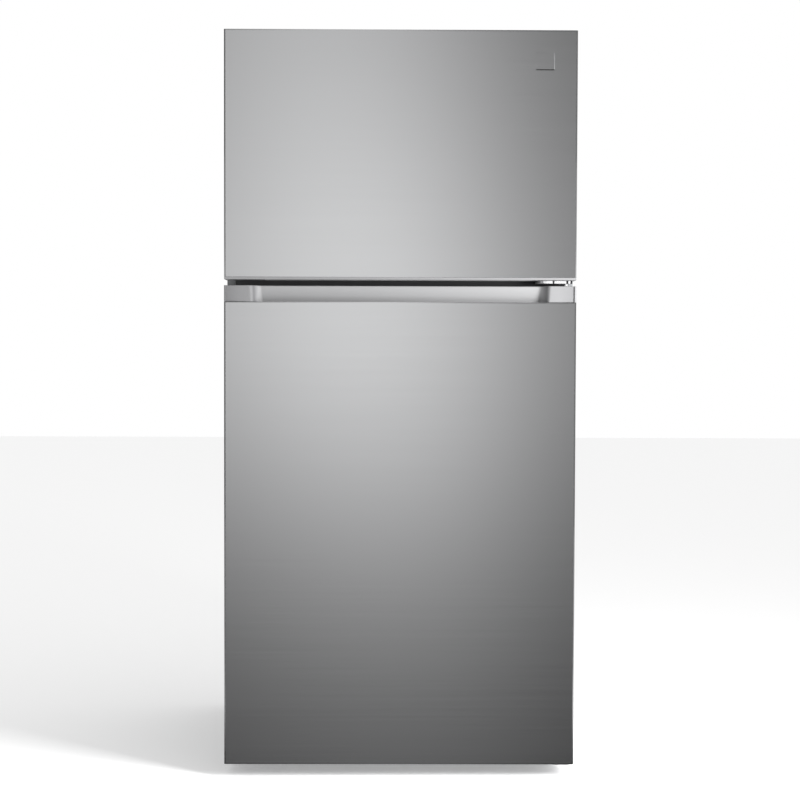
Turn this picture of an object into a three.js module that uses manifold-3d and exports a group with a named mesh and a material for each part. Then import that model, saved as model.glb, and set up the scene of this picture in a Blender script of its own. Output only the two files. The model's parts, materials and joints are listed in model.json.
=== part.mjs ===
// Top freezer refrigerator, in millimetres.
// +Z is up, the doors face -Y, and +X is to the right of someone who faces the doors.
// The origin is on the floor, at the centre of the whole object's outline.

import * as THREE from 'three';
import { mergeVertices } from 'three/addons/utils/BufferGeometryUtils.js';
import Module from 'manifold-3d';

const wasm = await Module();
wasm.setup();

// ---------------------------------------------------------------- driving sizes

const overall = { width: 832, height: 1770, depth: 810 };
const clearance = 0.3; // between two pieces that touch
const sheet = 1.2; // painted and stainless steel sheet
const skinWall = 2; // formed plastic liners and covers

const door = { thickness: 68, seal: 14, floorGap: 32, gapBetween: 14, freezerHeight: 586 };
const doorEdge = { radius: 4, hem: 10, hemSeat: 2.3 };
const lip = { height: 26, rise: 22, depth: 8 }; // raised front edge of the freezer door
const dyke = { outerInset: 12, width: 34, depth: 60 }; // raised ring inside each door
const gasket = { edgeInset: 24, width: 20, fromDoorEnd: 8, fromDoorBase: 34, radius: 12 };
const doorCap = { height: 20, visible: 5.7 };

const trim = { height: 39, capWidth: 70, endSlant: 12 }; // handle across the lower door's top
const pocket = { depth: 34, below: 28, lipThickness: 7, wall: 2.5 };
const grip = { fromSide: 96, depth: 36, height: 16, setBack: 9 }; // under the freezer door

const badge = { width: 45, height: 41, thickness: 1.5, fromRight: 77, fromTop: 73 };

const hingePin = { fromSide: 22, fromFront: 25, radius: 4, hole: 5, length: 18 };
const hingePlate = { thickness: 3, arm: 15, flange: 3, reach: 40, middle: 6, middleReach: 69 };

const wall = { side: 50, top: 55, back: 60, divider: 76, floorLevel: 100 };
const frontFlange = 20; // folded edge of the cabinet shell
const shellRadius = 3; // top corners, small enough to leave sheet metal over the square inside
const shellBottom = 34;
const deckLevel = 60; // underside of the insulated cabinet
const deckSheet = 2; // sheet of the base frame
const rail = { depth: 30, setBack: 0.2 }; // between the two compartments' openings
const backRib = { depth: 13, width: 60, spacing: 500, aboveMachine: 170, belowTop: 298 };

const machine = { depth: 240, top: 280, plateLevel: 40, plate: 3 };
const machineWall = { front: 38, top: 40 }; // insulation between the machine space and the liner
const compressorSize = { radius: 72, seam: 74, foot: 95, fromSide: 226, fromFront: 118 };
const coil = { runs: 6, pitch: 28, radius: 3, fromSide: 59, fromFan: 103, fromFront: 130, level: 70 };
const machineFan = { radius: 55, fromCompressor: 210, fromFront: 120, level: 150, motor: 26 };
const coverSlot = { count: 12, fromSide: 110, half: 14, height: 9, levels: [110, 200] };
const inlet = { fromSide: 66, level: 76, hole: 11 };
const foot = { radius: 20, stem: 6, fromSide: 76, fromFront: 70, height: 54 };
const roller = { radius: 18, width: 22, bore: 4.8, axle: 4, fromSide: 70, fromBack: 60 };
const fork = { gap: 2, thickness: 3, half: 12, below: 8, radius: 6 }; // holds a rear roller

const evaporatorSpace = 80; // behind the cover at the back of the freezer
const coverPlate = 3;
const fins = { count: 9, thickness: 1.2, depth: 44, height: 150, tube: 4, fromSide: 126, above: 25 };
const freezerFan = { radius: 50, above: 295, behind: 15, motor: 24 };
const control = { halfWidth: 170, front: 200, height: 50, wall: 2.5 };
const duct = { half: 90, depth: 44, above: 40, slotHalf: 50, slots: 3, slotPitch: 36, slotHeight: 12 };
const dial = { radius: 20, depth: 14, offset: 100, fromSide: 116, below: 50 };
const ledge = { width: 10, height: 8 };

const shelf = { front: 110, backGap: 13.2, rail: 14, height: 16, glass: 4, rebate: 8, sideGap: 4 };
const wireShelf = { above: 235, frame: 3, bar: 2.5, wire: 1.6, wires: 13, backGap: 12 };
const crisper = { backGap: 10, height: 195, wall: 2.5, radius: 12, gap: 8, sideGap: 34, pull: 5 };
const crisperHeadroom = 11; // from the compartment's floor plus a crisper to its cover
const guide = { height: 24, gap: 4 }; // floor guides beside the crispers
const slider = { width: 26, depth: 4, height: 10, offset: 180 };

const bin = { depth: 100, wall: 2.5, radius: 14, sideGap: 2 };
const binRest = { freezer: 9, fridge: 14 }; // from the door's recess up to its lower bin
const binHeight = { freezer: 90, lower: 130, middle: 100, dairy: 88 };
const dairyPin = { radius: 2.6, hole: 3.2, fromBack: 13, fromTop: 7, dropAbove: 4 };
const plunger = { radius: 2.5, collar: 4, fromSide: 116, length: 36, hole: 3.1 };

// ---------------------------------------------------------------- places worked out

const halfWidth = overall.width / 2;
const doorFront = -overall.depth / 2 + badge.thickness + clearance;
const doorBack = door.thickness;
const cabinetFront = doorFront + door.thickness + door.seal;
const cabinetDepth = overall.depth / 2 - backRib.depth - cabinetFront;
const cabinetTop = overall.height - lip.rise;

const freezerBase = overall.height - door.freezerHeight;
const fridgeHeight = freezerBase - door.gapBetween - door.floorGap;
const dividerLevel = freezerBase - door.gapBetween / 2;

const foamBottom = deckLevel + deckSheet;
const cavityHalf = halfWidth - wall.side;
const cavityDepth = cabinetDepth - wall.back;
const freezerFloor = dividerLevel + wall.divider / 2;
const freezerCeiling = cabinetTop - wall.top;
const fridgeFloor = wall.floorLevel;
const fridgeCeiling = dividerLevel - wall.divider / 2;

const shellInside = halfWidth - sheet - clearance;
const railHalf = halfWidth - frontFlange - clearance;
const machineFront = cabinetDepth - machine.depth;
const foamStep = machine.top + deckSheet; // where the insulation starts over the machine space
const pinX = halfWidth - hingePin.fromSide;
const pinY = hingePin.fromFront; // behind the doors' front face
const pinInCabinet = hingePin.fromFront - door.thickness - door.seal;
const dykeHalf = cavityHalf - dyke.outerInset;
const recessHalf = dykeHalf - dyke.width;
const coverFront = cavityDepth - evaporatorSpace - coverPlate;
const humpFront = machineFront - machineWall.front;
const humpTop = machine.top + machineWall.top;

const shelfBack = cavityDepth - shelf.backGap;
const crisperFront = shelf.front + crisper.pull;
const crisperBack = humpFront - crisper.backGap;
const crisperCoverLevel = fridgeFloor + crisper.height + crisperHeadroom;
const crisperCoverBack = humpFront - 2;
const shelfSpacing = (fridgeCeiling - control.height - crisperCoverLevel - shelf.height) / 3;
const shelfLevels = {
  lower: crisperCoverLevel + shelf.height + shelfSpacing,
  upper: crisperCoverLevel + shelf.height + 2 * shelfSpacing,
  freezer: freezerFloor + wireShelf.above,
};
const compressorX = halfWidth - compressorSize.fromSide;
const machineFanX = compressorX - machineFan.fromCompressor;
const freezerFanLevel = freezerFloor + freezerFan.above;
const inletX = halfWidth - inlet.fromSide;
const plungerX = plunger.fromSide - halfWidth;

// ---------------------------------------------------------------- solid modelling helpers

function toSolid(geometry) {
  geometry.deleteAttribute('normal');
  geometry.deleteAttribute('uv');
  const merged = mergeVertices(geometry, 1e-4);
  return new wasm.Manifold(new wasm.Mesh({
    numProp: 3,
    vertProperties: new Float32Array(merged.attributes.position.array),
    triVerts: new Uint32Array(merged.index.array),
  }));
}

function toGeometry(solid) {
  const data = solid.getMesh();
  const geometry = new THREE.BufferGeometry();
  geometry.setAttribute('position', new THREE.BufferAttribute(data.vertProperties, 3));
  geometry.setIndex(new THREE.BufferAttribute(data.triVerts, 1));
  geometry.computeVertexNormals();
  return geometry;
}

// A block between two values on each axis.
function block(x0, x1, y0, y1, z0, z1) {
  const geometry = new THREE.BoxGeometry(x1 - x0, y1 - y0, z1 - z0);
  geometry.translate((x0 + x1) / 2, (y0 + y1) / 2, (z0 + z1) / 2);
  return toSolid(geometry);
}

// A block centred on X.
function span(half, y0, y1, z0, z1) {
  return block(-half, half, y0, y1, z0, z1);
}

// A cylinder along one axis, from one value to another, centred on (u, v) in the other two.
function rod(axis, radius, from, to, u, v, sides = 16) {
  const geometry = new THREE.CylinderGeometry(radius, radius, to - from, sides);
  const middle = (from + to) / 2;
  if (axis === 'x') {
    geometry.rotateZ(Math.PI / 2);
    geometry.translate(middle, u, v);
  } else if (axis === 'y') {
    geometry.translate(u, middle, v);
  } else {
    geometry.rotateX(Math.PI / 2);
    geometry.translate(u, v, middle);
  }
  return toSolid(geometry);
}

function extrude(shape, depth, segments = 4) {
  return new THREE.ExtrudeGeometry(shape, { depth, bevelEnabled: false, curveSegments: segments });
}

// An outline in X and Y, raised from z0 to z1.
function prismZ(shape, z0, z1, segments) {
  const geometry = extrude(shape, z1 - z0, segments);
  geometry.translate(0, 0, z0);
  return toSolid(geometry);
}

// An outline in X and Z, carried from y0 to y1.
function prismY(shape, y0, y1, segments) {
  const geometry = extrude(shape, y1 - y0, segments);
  geometry.rotateX(Math.PI / 2);
  geometry.translate(0, y1, 0);
  return toSolid(geometry);
}

// An outline in Y and Z, carried from x0 to x1.
function prismX(shape, x0, x1, segments) {
  const geometry = extrude(shape, x1 - x0, segments);
  const turn = new THREE.Matrix4().makeBasis(
    new THREE.Vector3(0, 1, 0),
    new THREE.Vector3(0, 0, 1),
    new THREE.Vector3(1, 0, 0),
  );
  geometry.applyMatrix4(turn);
  geometry.translate(x0, 0, 0);
  return toSolid(geometry);
}

function outline(points) {
  return new THREE.Shape(points.map(([u, v]) => new THREE.Vector2(u, v)));
}

function roundedRectangle(x0, x1, y0, y1, radius) {
  const shape = new THREE.Shape();
  shape.moveTo(x0 + radius, y0);
  shape.lineTo(x1 - radius, y0);
  shape.absarc(x1 - radius, y0 + radius, radius, -Math.PI / 2, 0);
  shape.lineTo(x1, y1 - radius);
  shape.absarc(x1 - radius, y1 - radius, radius, 0, Math.PI / 2);
  shape.lineTo(x0 + radius, y1);
  shape.absarc(x0 + radius, y1 - radius, radius, Math.PI / 2, Math.PI);
  shape.lineTo(x0, y0 + radius);
  shape.absarc(x0 + radius, y0 + radius, radius, Math.PI, Math.PI * 1.5);
  return shape;
}

function roundedFrame(x0, x1, y0, y1, radius, width) {
  const shape = roundedRectangle(x0, x1, y0, y1, radius);
  const innerRadius = Math.max(radius - width, 1);
  shape.holes.push(roundedRectangle(x0 + width, x1 - width, y0 + width, y1 - width, innerRadius));
  return shape;
}

function union(...solids) {
  return solids.reduce((sum, next) => sum.add(next));
}

// A hinge arm seen from above: round about the pin, straight across its base.
function armOutline(radius, base, halfBase) {
  const direction = Math.atan2(base.y, base.x);
  const shape = new THREE.Shape();
  shape.absarc(0, 0, radius, direction + Math.PI / 2, direction - Math.PI / 2 + 2 * Math.PI);
  const side = new THREE.Vector2(-Math.sin(direction), Math.cos(direction));
  shape.lineTo(base.x - side.x * halfBase, base.y - side.y * halfBase);
  shape.lineTo(base.x + side.x * halfBase, base.y + side.y * halfBase);
  return shape;
}

// ---------------------------------------------------------------- materials and naming

const finishes = {
  stainless: { color: 0xb4b6b8, roughness: 0.34, metalness: 1 },
  satinTrim: { color: 0xbcbdbf, roughness: 0.3, metalness: 0.9 },
  greyPaint: { color: 0x7c7e80, roughness: 0.5, metalness: 0.2 },
  darkPaint: { color: 0x2b2c2e, roughness: 0.5, metalness: 0.2 },
  galvanised: { color: 0x9fa3a6, roughness: 0.45, metalness: 0.9 },
  foam: { color: 0xd9c48a, roughness: 0.9, metalness: 0 },
  whitePlastic: { color: 0xeceeee, roughness: 0.35, metalness: 0 },
  greyPlastic: { color: 0x8f9295, roughness: 0.5, metalness: 0 },
  clearPlastic: { color: 0xd4e0e4, roughness: 0.1, metalness: 0 },
  glass: { color: 0xc8dcd8, roughness: 0.05, metalness: 0 },
  rubber: { color: 0x8b8d8f, roughness: 0.8, metalness: 0 },
  blackPlastic: { color: 0x1d1e20, roughness: 0.55, metalness: 0 },
  blackEnamel: { color: 0x151617, roughness: 0.35, metalness: 0.1 },
  copper: { color: 0xb0714a, roughness: 0.35, metalness: 1 },
  aluminium: { color: 0xc4c8cb, roughness: 0.4, metalness: 1 },
  chrome: { color: 0xd6d8da, roughness: 0.12, metalness: 1 },
};

function part(name, solid, finish, position = [0, 0, 0]) {
  const material = new THREE.MeshStandardMaterial(finishes[finish]);
  const mesh = new THREE.Mesh(toGeometry(solid), material);
  mesh.name = name;
  mesh.position.set(...position);
  return mesh;
}

function groupAt(x, y, z, ...children) {
  const group = new THREE.Group();
  group.position.set(x, y, z);
  group.add(...children);
  return group;
}

// ---------------------------------------------------------------- cabinet shell and insulation
// In the cabinet's own frame, Y runs back from the cabinet's front face.

function shellOutline() {
  const side = halfWidth;
  const top = cabinetTop;
  const radius = shellRadius;
  const shape = new THREE.Shape();
  shape.moveTo(-side, shellBottom);
  shape.lineTo(-side, top - radius);
  shape.absarc(-side + radius, top - radius, radius, Math.PI, Math.PI / 2, true);
  shape.lineTo(side - radius, top);
  shape.absarc(side - radius, top - radius, radius, Math.PI / 2, 0, true);
  shape.lineTo(side, shellBottom);
  return shape;
}

function cabinetShell() {
  const body = prismY(shellOutline(), 0, cabinetDepth);
  const below = shellBottom - 1;
  const inside = span(halfWidth - sheet, sheet, cabinetDepth + 1, below, cabinetTop - sheet);
  const opening = span(halfWidth - frontFlange, -1, sheet + 1, below, cabinetTop - frontFlange);
  return part('cabinet_shell', body.subtract(inside).subtract(opening), 'greyPaint');
}

function cabinetBack() {
  const front = cabinetDepth - sheet;
  let panel = span(shellInside, front, cabinetDepth, foamStep, cabinetTop - sheet - clearance);
  for (const side of [-1, 1]) {
    const x = side * backRib.spacing / 2;
    const half = backRib.width / 2;
    const bottom = machine.top + backRib.aboveMachine;
    const top = cabinetTop - backRib.belowTop;
    const outside = cabinetDepth + backRib.depth;
    panel = panel.add(block(x - half, x + half, front, outside, bottom, top));
    const inner = half - sheet;
    panel = panel.subtract(block(
      x - inner, x + inner, front - 1, outside - sheet, bottom + sheet, top - sheet,
    ));
  }
  return part('cabinet_back', panel, 'galvanised');
}

// The outside of a liner's box, grown on every side.
function linerBox(floor, ceiling, grow) {
  return span(cavityHalf + grow, -1, cavityDepth + grow, floor - grow, ceiling + grow);
}

function fridgeBox(grow) {
  const step = span(
    halfWidth, humpFront + grow, cabinetDepth, fridgeFloor - grow - 1, humpTop - grow,
  );
  return linerBox(fridgeFloor, fridgeCeiling, grow).subtract(step);
}

function railLevels() {
  return { bottom: fridgeCeiling + frontFlange + clearance, top: freezerFloor - frontFlange - clearance };
}

function foamInsulation() {
  const front = skinWall + clearance;
  const back = cabinetDepth - sheet - clearance;
  const rails = railLevels();
  const foam = span(shellInside, front, back, foamBottom, cabinetTop - sheet - clearance)
    .subtract(linerBox(freezerFloor, freezerCeiling, skinWall + clearance))
    .subtract(fridgeBox(skinWall + clearance))
    .subtract(span(halfWidth, machineFront - deckSheet - clearance, cabinetDepth, 0, foamStep))
    .subtract(span(
      railHalf + clearance, 0, rail.depth + clearance, rails.bottom - clearance, rails.top + clearance,
    ));
  return part('foam_insulation', foam, 'foam');
}

function sideLedges(level, front, back) {
  const top = level - clearance;
  const inside = cavityHalf - ledge.width;
  return union(
    block(-cavityHalf - 1, -inside, front, back, top - ledge.height, top),
    block(inside, cavityHalf + 1, front, back, top - ledge.height, top),
  );
}

function freezerLiner() {
  const box = linerBox(freezerFloor, freezerCeiling, skinWall)
    .intersect(span(halfWidth, 0, cabinetDepth, 0, overall.height));
  const flangeTop = cabinetTop - frontFlange - clearance;
  const flange = span(railHalf, 0, skinWall, freezerFloor - frontFlange, flangeTop);
  const cavity = linerBox(freezerFloor, freezerCeiling, 0);
  const ledges = sideLedges(shelfLevels.freezer, shelf.front, coverFront - wireShelf.backGap);
  return part('freezer_liner', box.add(flange).subtract(cavity).add(ledges), 'whitePlastic');
}

function fridgeLiner() {
  const box = fridgeBox(skinWall).intersect(span(halfWidth, 0, cabinetDepth, 0, overall.height));
  const flange = span(railHalf, 0, skinWall, foamBottom, fridgeCeiling + frontFlange);
  const ledges = union(
    sideLedges(shelfLevels.lower, shelf.front, shelfBack),
    sideLedges(shelfLevels.upper, shelf.front, shelfBack),
    sideLedges(crisperCoverLevel, shelf.front, crisperCoverBack),
  );
  const inside = cavityHalf - crisper.sideGap + guide.gap;
  const guideTop = fridgeFloor + guide.height;
  const guides = union(
    block(-cavityHalf - 1, -inside, crisperFront, humpFront + 1, fridgeFloor - 1, guideTop),
    block(inside, cavityHalf + 1, crisperFront, humpFront + 1, fridgeFloor - 1, guideTop),
  );
  const liner = box.add(flange).subtract(fridgeBox(0)).add(ledges).add(guides);
  return part('fridge_liner', liner, 'whitePlastic');
}

function dividerRail() {
  const { bottom, top } = railLevels();
  const front = rail.setBack;
  let channel = span(railHalf, front, rail.depth, bottom, top)
    .subtract(span(railHalf - 2, front + sheet, rail.depth + 1, bottom + sheet, top - sheet));
  for (const z of plungerLevels()) {
    channel = channel.subtract(rod('y', plunger.hole, -1, front + sheet + 1, plungerX, z, 12));
  }
  return part('divider_rail', channel, 'darkPaint');
}

// ---------------------------------------------------------------- base and machine space

function baseFrame() {
  const side = shellInside;
  const inner = side - deckSheet;
  const front = deckSheet;
  const back = cabinetDepth - 3;
  const wallFront = machineFront - deckSheet;
  const sidePlate = outline([
    [front, shellBottom], [back, shellBottom], [back, machine.top],
    [wallFront, machine.top], [wallFront, deckLevel], [front, deckLevel],
  ]);
  const deckBottom = deckLevel - clearance;
  const deckTop = foamBottom - clearance;
  const plateTop = machine.plateLevel + machine.plate;
  const footPlateBack = foot.fromFront + foot.radius + 6;
  let frame = union(
    prismX(sidePlate, -side, -inner),
    prismX(sidePlate, inner, side),
    span(side, front, machineFront, deckBottom, deckTop),
    span(side, wallFront, machineFront - clearance, machine.plateLevel, machine.top),
    span(side, wallFront, back, machine.top, foamStep - clearance),
    span(side, wallFront, back, machine.plateLevel, plateTop),
    span(railHalf, 0, front + 0.5, shellBottom, deckTop),
    span(side, front, footPlateBack, machine.plateLevel, plateTop),
  );
  const footX = halfWidth - foot.fromSide;
  for (const sign of [-1, 1]) {
    const hole = rod(
      'z', foot.stem + 2 * clearance, shellBottom, plateTop + 1, sign * footX, foot.fromFront, 16,
    );
    frame = frame.subtract(hole);
    frame = frame.add(rollerFork(sign * (halfWidth - roller.fromSide)));
  }
  return part('base_frame', frame, 'galvanised');
}

// Two ears and the axle that a rear roller turns on.
function rollerFork(x) {
  const y = cabinetDepth - roller.fromBack;
  const inside = roller.width / 2 + fork.gap;
  const outside = inside + fork.thickness;
  const ear = roundedRectangle(
    y - fork.half, y + fork.half, roller.radius - fork.below, machine.plateLevel + 1, fork.radius,
  );
  return union(
    prismX(ear, x - outside, x - inside),
    prismX(ear, x + inside, x + outside),
    rod('x', roller.axle, x - inside - 1, x + inside + 1, y, roller.radius, 12),
  );
}

function rearRoller(name, x) {
  const half = roller.width / 2;
  const wheel = rod('x', roller.radius, -half, half, 0, 0, 24)
    .subtract(rod('x', roller.bore, -half - 1, half + 1, 0, 0, 12));
  return part(name, wheel, 'blackPlastic', [x, cabinetDepth - roller.fromBack, roller.radius]);
}

function levellingFoot(name, x) {
  const profile = [
    [0, 0], [foot.radius, 0], [foot.radius, 5], [foot.stem + 3, 12], [foot.stem, 14],
    [foot.stem, foot.height], [0, foot.height],
  ].map(([r, z]) => new THREE.Vector2(r, z));
  const geometry = new THREE.LatheGeometry(profile, 18);
  geometry.rotateX(Math.PI / 2);
  return part(name, toSolid(geometry), 'blackPlastic', [x, foot.fromFront, 0]);
}

function compressor() {
  const { radius, seam } = compressorSize;
  const crown = { level: 120, radius: 38 };
  const geometry = new THREE.LatheGeometry([
    new THREE.Vector2(0, 6),
    new THREE.Vector2(radius - 14, 6),
    ...roundedCorner(radius, 22, 14, -Math.PI / 2, 0),
    new THREE.Vector2(seam, 78),
    new THREE.Vector2(seam, 84),
    new THREE.Vector2(radius, 86),
    ...roundedCorner(radius, crown.level, crown.radius, 0, Math.PI / 2),
    new THREE.Vector2(0, crown.level + crown.radius + 2),
  ], 24);
  geometry.rotateX(Math.PI / 2);
  const bracket = { half: compressorSize.foot, depth: 55, bottom: 10, top: 13 };
  let body = toSolid(geometry)
    .add(block(-bracket.half, bracket.half, -bracket.depth, bracket.depth, bracket.bottom, bracket.top));
  const grommet = { radius: 10, x: bracket.half - 13, y: bracket.depth - 12 };
  for (const x of [-grommet.x, grommet.x]) {
    for (const y of [-grommet.y, grommet.y]) {
      body = body.add(rod('z', grommet.radius, 0, bracket.top - 1, x, y, 12));
    }
  }
  const relay = block(radius - 12, radius + 20, -22, 22, 55, 105);
  const processTube = rod('z', 4, crown.level - 10, 176, -40, 0, 8);
  const level = machine.plateLevel + machine.plate + clearance;
  const position = [compressorX, machineFront + compressorSize.fromFront, level];
  return part('compressor', union(body, relay, processTube), 'blackEnamel', position);
}

// Points of a quarter arc that ends at the given radius.
function roundedCorner(outer, level, radius, from, to) {
  const points = [];
  const steps = 4;
  for (let i = 0; i <= steps; i += 1) {
    const angle = from + (to - from) * i / steps;
    points.push(new THREE.Vector2(
      outer - radius + radius * Math.cos(angle), level + radius * Math.sin(angle),
    ));
  }
  return points;
}

// A flat zigzag tube with half-round bends: straight runs along X, stacked upwards.
class Zigzag extends THREE.Curve {
  constructor(runs, length, pitch) {
    super();
    Object.assign(this, { runs, length, pitch });
  }

  getPoint(t, target = new THREE.Vector3()) {
    const bend = Math.PI * this.pitch / 2;
    const total = this.runs * this.length + (this.runs - 1) * bend;
    let rest = Math.min(t, 0.999999) * total;
    let row = 0;
    while (rest > this.length + bend) {
      rest -= this.length + bend;
      row += 1;
    }
    const way = row % 2 === 0 ? 1 : -1;
    const level = row * this.pitch;
    if (rest <= this.length) {
      return target.set(way * (rest - this.length / 2), 0, level);
    }
    const angle = (rest - this.length) / (this.pitch / 2);
    const reach = this.length / 2 + Math.sin(angle) * this.pitch / 2;
    return target.set(way * reach, 0, level + (1 - Math.cos(angle)) * this.pitch / 2);
  }
}

function bentTube(curve, radius, steps) {
  const section = new THREE.Shape();
  section.absarc(0, 0, radius, 0, Math.PI * 2);
  const geometry = new THREE.ExtrudeGeometry(section, { steps, extrudePath: curve, curveSegments: 3 });
  return toSolid(geometry);
}

function condenserCoil() {
  const left = coil.fromSide - halfWidth;
  const right = machineFanX - coil.fromFan;
  const length = right - left - coil.pitch - 2 * coil.radius;
  const tube = bentTube(new Zigzag(coil.runs, length, coil.pitch), coil.radius, 88);
  const position = [(left + right) / 2, machineFront + coil.fromFront, coil.level];
  return part('condenser_coil', tube, 'copper', position);
}

// A hub with five blades. Its axis is Z before the turn.
function fanRotor(name, radius, position, turn) {
  const blades = 5;
  const thickness = 1.6;
  const pitchAngle = 0.5;
  const blade = roundedRectangle(radius * 0.2, radius, -radius * 0.26, radius * 0.26, radius * 0.2);
  let rotor = rod('z', radius * 0.28, -9, 9, 0, 0, 18);
  for (let i = 0; i < blades; i += 1) {
    const geometry = extrude(blade, thickness, 3);
    geometry.translate(0, 0, -thickness / 2);
    geometry.rotateX(pitchAngle);
    geometry.rotateZ(i * 2 * Math.PI / blades);
    rotor = rotor.add(toSolid(geometry));
  }
  const mesh = part(name, rotor, 'greyPlastic', position);
  mesh.rotation.set(...turn);
  return mesh;
}

function condenserFan() {
  const position = [machineFanX, machineFront + machineFan.fromFront, machineFan.level];
  return fanRotor('condenser_fan', machineFan.radius, position, [0, Math.PI / 2, 0]);
}

function condenserFanMotor() {
  const x = machineFanX;
  const y = machineFront + machineFan.fromFront;
  const z = machineFan.level;
  const level = machine.plateLevel + machine.plate + clearance;
  const motor = union(
    rod('x', machineFan.motor, x - 58, x - 14, y, z, 18),
    rod('x', 3, x - 16, x - 10, y, z, 8),
    block(x - 52, x - 32, y - 8, y + 8, level, z - 10),
    block(x - 70, x - 20, y - 30, y + 30, level, level + 3),
  );
  return part('condenser_fan_motor', motor, 'blackPlastic');
}

function machineCover() {
  const back = cabinetDepth - 1;
  const front = back - 1.5;
  let cover = span(shellInside - 1, front, back, shellBottom + 2, machine.top - 1);
  const { count, half, height } = coverSlot;
  const pitch = 2 * (halfWidth - coverSlot.fromSide) / count;
  for (const level of coverSlot.levels) {
    for (let i = 0; i < count; i += 1) {
      const x = (i - (count - 1) / 2) * pitch;
      cover = cover.subtract(block(x - half, x + half, front - 1, back + 1, level, level + height));
    }
  }
  cover = cover.subtract(rod('y', inlet.hole, front - 1, back + 1, -inletX, inlet.level, 16));
  return part('machine_cover', cover, 'galvanised');
}

// The grommet that the mains lead would pass through.
function cordInlet() {
  const neck = inlet.hole - 2 * clearance;
  const profile = [
    [5, -8], [neck, -8], [neck, clearance], [inlet.hole + 5, clearance],
    [inlet.hole + 5, 4], [5, 4], [5, -8],
  ];
  const geometry = new THREE.LatheGeometry(profile.map(([r, y]) => new THREE.Vector2(r, y)), 16);
  const position = [-inletX, cabinetDepth - 1, inlet.level];
  return part('cord_inlet', toSolid(geometry), 'blackPlastic', position);
}

// ---------------------------------------------------------------- freezer compartment

function evaporator() {
  const half = cavityHalf - fins.fromSide;
  const level = freezerFloor + fins.above;
  const front = coverFront + coverPlate + 18;
  const end = { inside: half + 3, outside: half + 6 };
  const tubes = [0.15, 0.38, 0.62, 0.85].map((share) => rod(
    'x', fins.tube, -end.outside, end.outside, front + fins.depth / 2, level + fins.height * share, 6,
  ));
  const endPlate = [front + 8, front + fins.depth - 8, level + 8, level + fins.height - 8];
  let pack = union(
    ...tubes,
    block(-end.outside, -end.inside, ...endPlate),
    block(end.inside, end.outside, ...endPlate),
  );
  for (let i = 0; i < fins.count; i += 1) {
    const x = -half + 2 * half * i / (fins.count - 1);
    const [x0, x1] = [x - fins.thickness / 2, x + fins.thickness / 2];
    pack = pack.add(block(x0, x1, front, front + fins.depth, level, level + fins.height));
  }
  return part('evaporator', pack, 'aluminium');
}

function evaporatorCover() {
  const floor = freezerFloor + clearance;
  const ceiling = freezerCeiling - clearance;
  const front = coverFront;
  const back = coverFront + coverPlate;
  let cover = span(cavityHalf - clearance, front, back, floor, ceiling);
  const outlets = { count: 6, pitch: 16, half: 60 };
  for (let i = 0; i < outlets.count; i += 1) {
    const z = freezerFanLevel + (i - (outlets.count - 1) / 2) * outlets.pitch;
    cover = cover.subtract(span(outlets.half, front - 1, back + 1, z - 4, z + 4));
  }
  const returns = { count: 8, pitch: (2 * cavityHalf - 92) / 8, half: 30 };
  for (let i = 0; i < returns.count; i += 1) {
    const x = (i - (returns.count - 1) / 2) * returns.pitch;
    cover = cover.subtract(block(
      x - returns.half, x + returns.half, front - 1, back + 1, floor + 10, floor + 18,
    ));
  }
  return part('evaporator_cover', cover, 'whitePlastic');
}

function evaporatorFan() {
  const position = [0, coverFront + coverPlate + freezerFan.behind, freezerFanLevel];
  return fanRotor('evaporator_fan', freezerFan.radius, position, [Math.PI / 2, 0, 0]);
}

function evaporatorFanMotor() {
  const front = coverFront + coverPlate + freezerFan.behind + 14;
  const z = freezerFanLevel;
  const motor = union(
    rod('y', freezerFan.motor, front, front + 30, 0, z, 18),
    span(90, front + 27, front + 30, z - 12, z + 12),
  );
  return part('evaporator_fan_motor', motor, 'blackPlastic');
}

// A wire shelf: a frame of thick wire, cross wires, and two bars across them.
function freezerShelf() {
  const half = cavityHalf - shelf.sideGap;
  const front = shelf.front;
  const back = coverFront - wireShelf.backGap;
  const r = wireShelf.frame;
  const level = shelfLevels.freezer + r;
  let grid = union(
    rod('x', r, -half, half, front + r, level, 6),
    rod('x', r, -half, half, back - r, level, 6),
    rod('y', r, front, back, r - half, level, 6),
    rod('y', r, front, back, half - r, level, 6),
    rod('x', wireShelf.bar, -half, half, front + (back - front) / 3, level, 6),
    rod('x', wireShelf.bar, -half, half, front + (back - front) * 2 / 3, level, 6),
  );
  for (let i = 1; i < wireShelf.wires; i += 1) {
    const x = -half + 2 * half * i / wireShelf.wires;
    grid = grid.add(rod('y', wireShelf.wire, front + 1, back - 1, x, level + 1, 4));
  }
  return part('freezer_shelf', grid, 'whitePlastic');
}

// A knob with a raised pointer bar. Its axis is Y and its back is at y = 0.
function knob(name, position) {
  const geometry = new THREE.LatheGeometry([
    new THREE.Vector2(0, -dial.depth + 3),
    new THREE.Vector2(dial.radius - 3, -dial.depth + 3),
    new THREE.Vector2(dial.radius, -dial.depth + 6),
    new THREE.Vector2(dial.radius, 0),
    new THREE.Vector2(0, 0),
  ], 24);
  const body = toSolid(geometry).add(block(-3, 3, -dial.depth, -2, -dial.radius + 4, dial.radius - 2));
  return part(name, body, 'whitePlastic', position);
}

// ---------------------------------------------------------------- fresh food compartment

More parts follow.
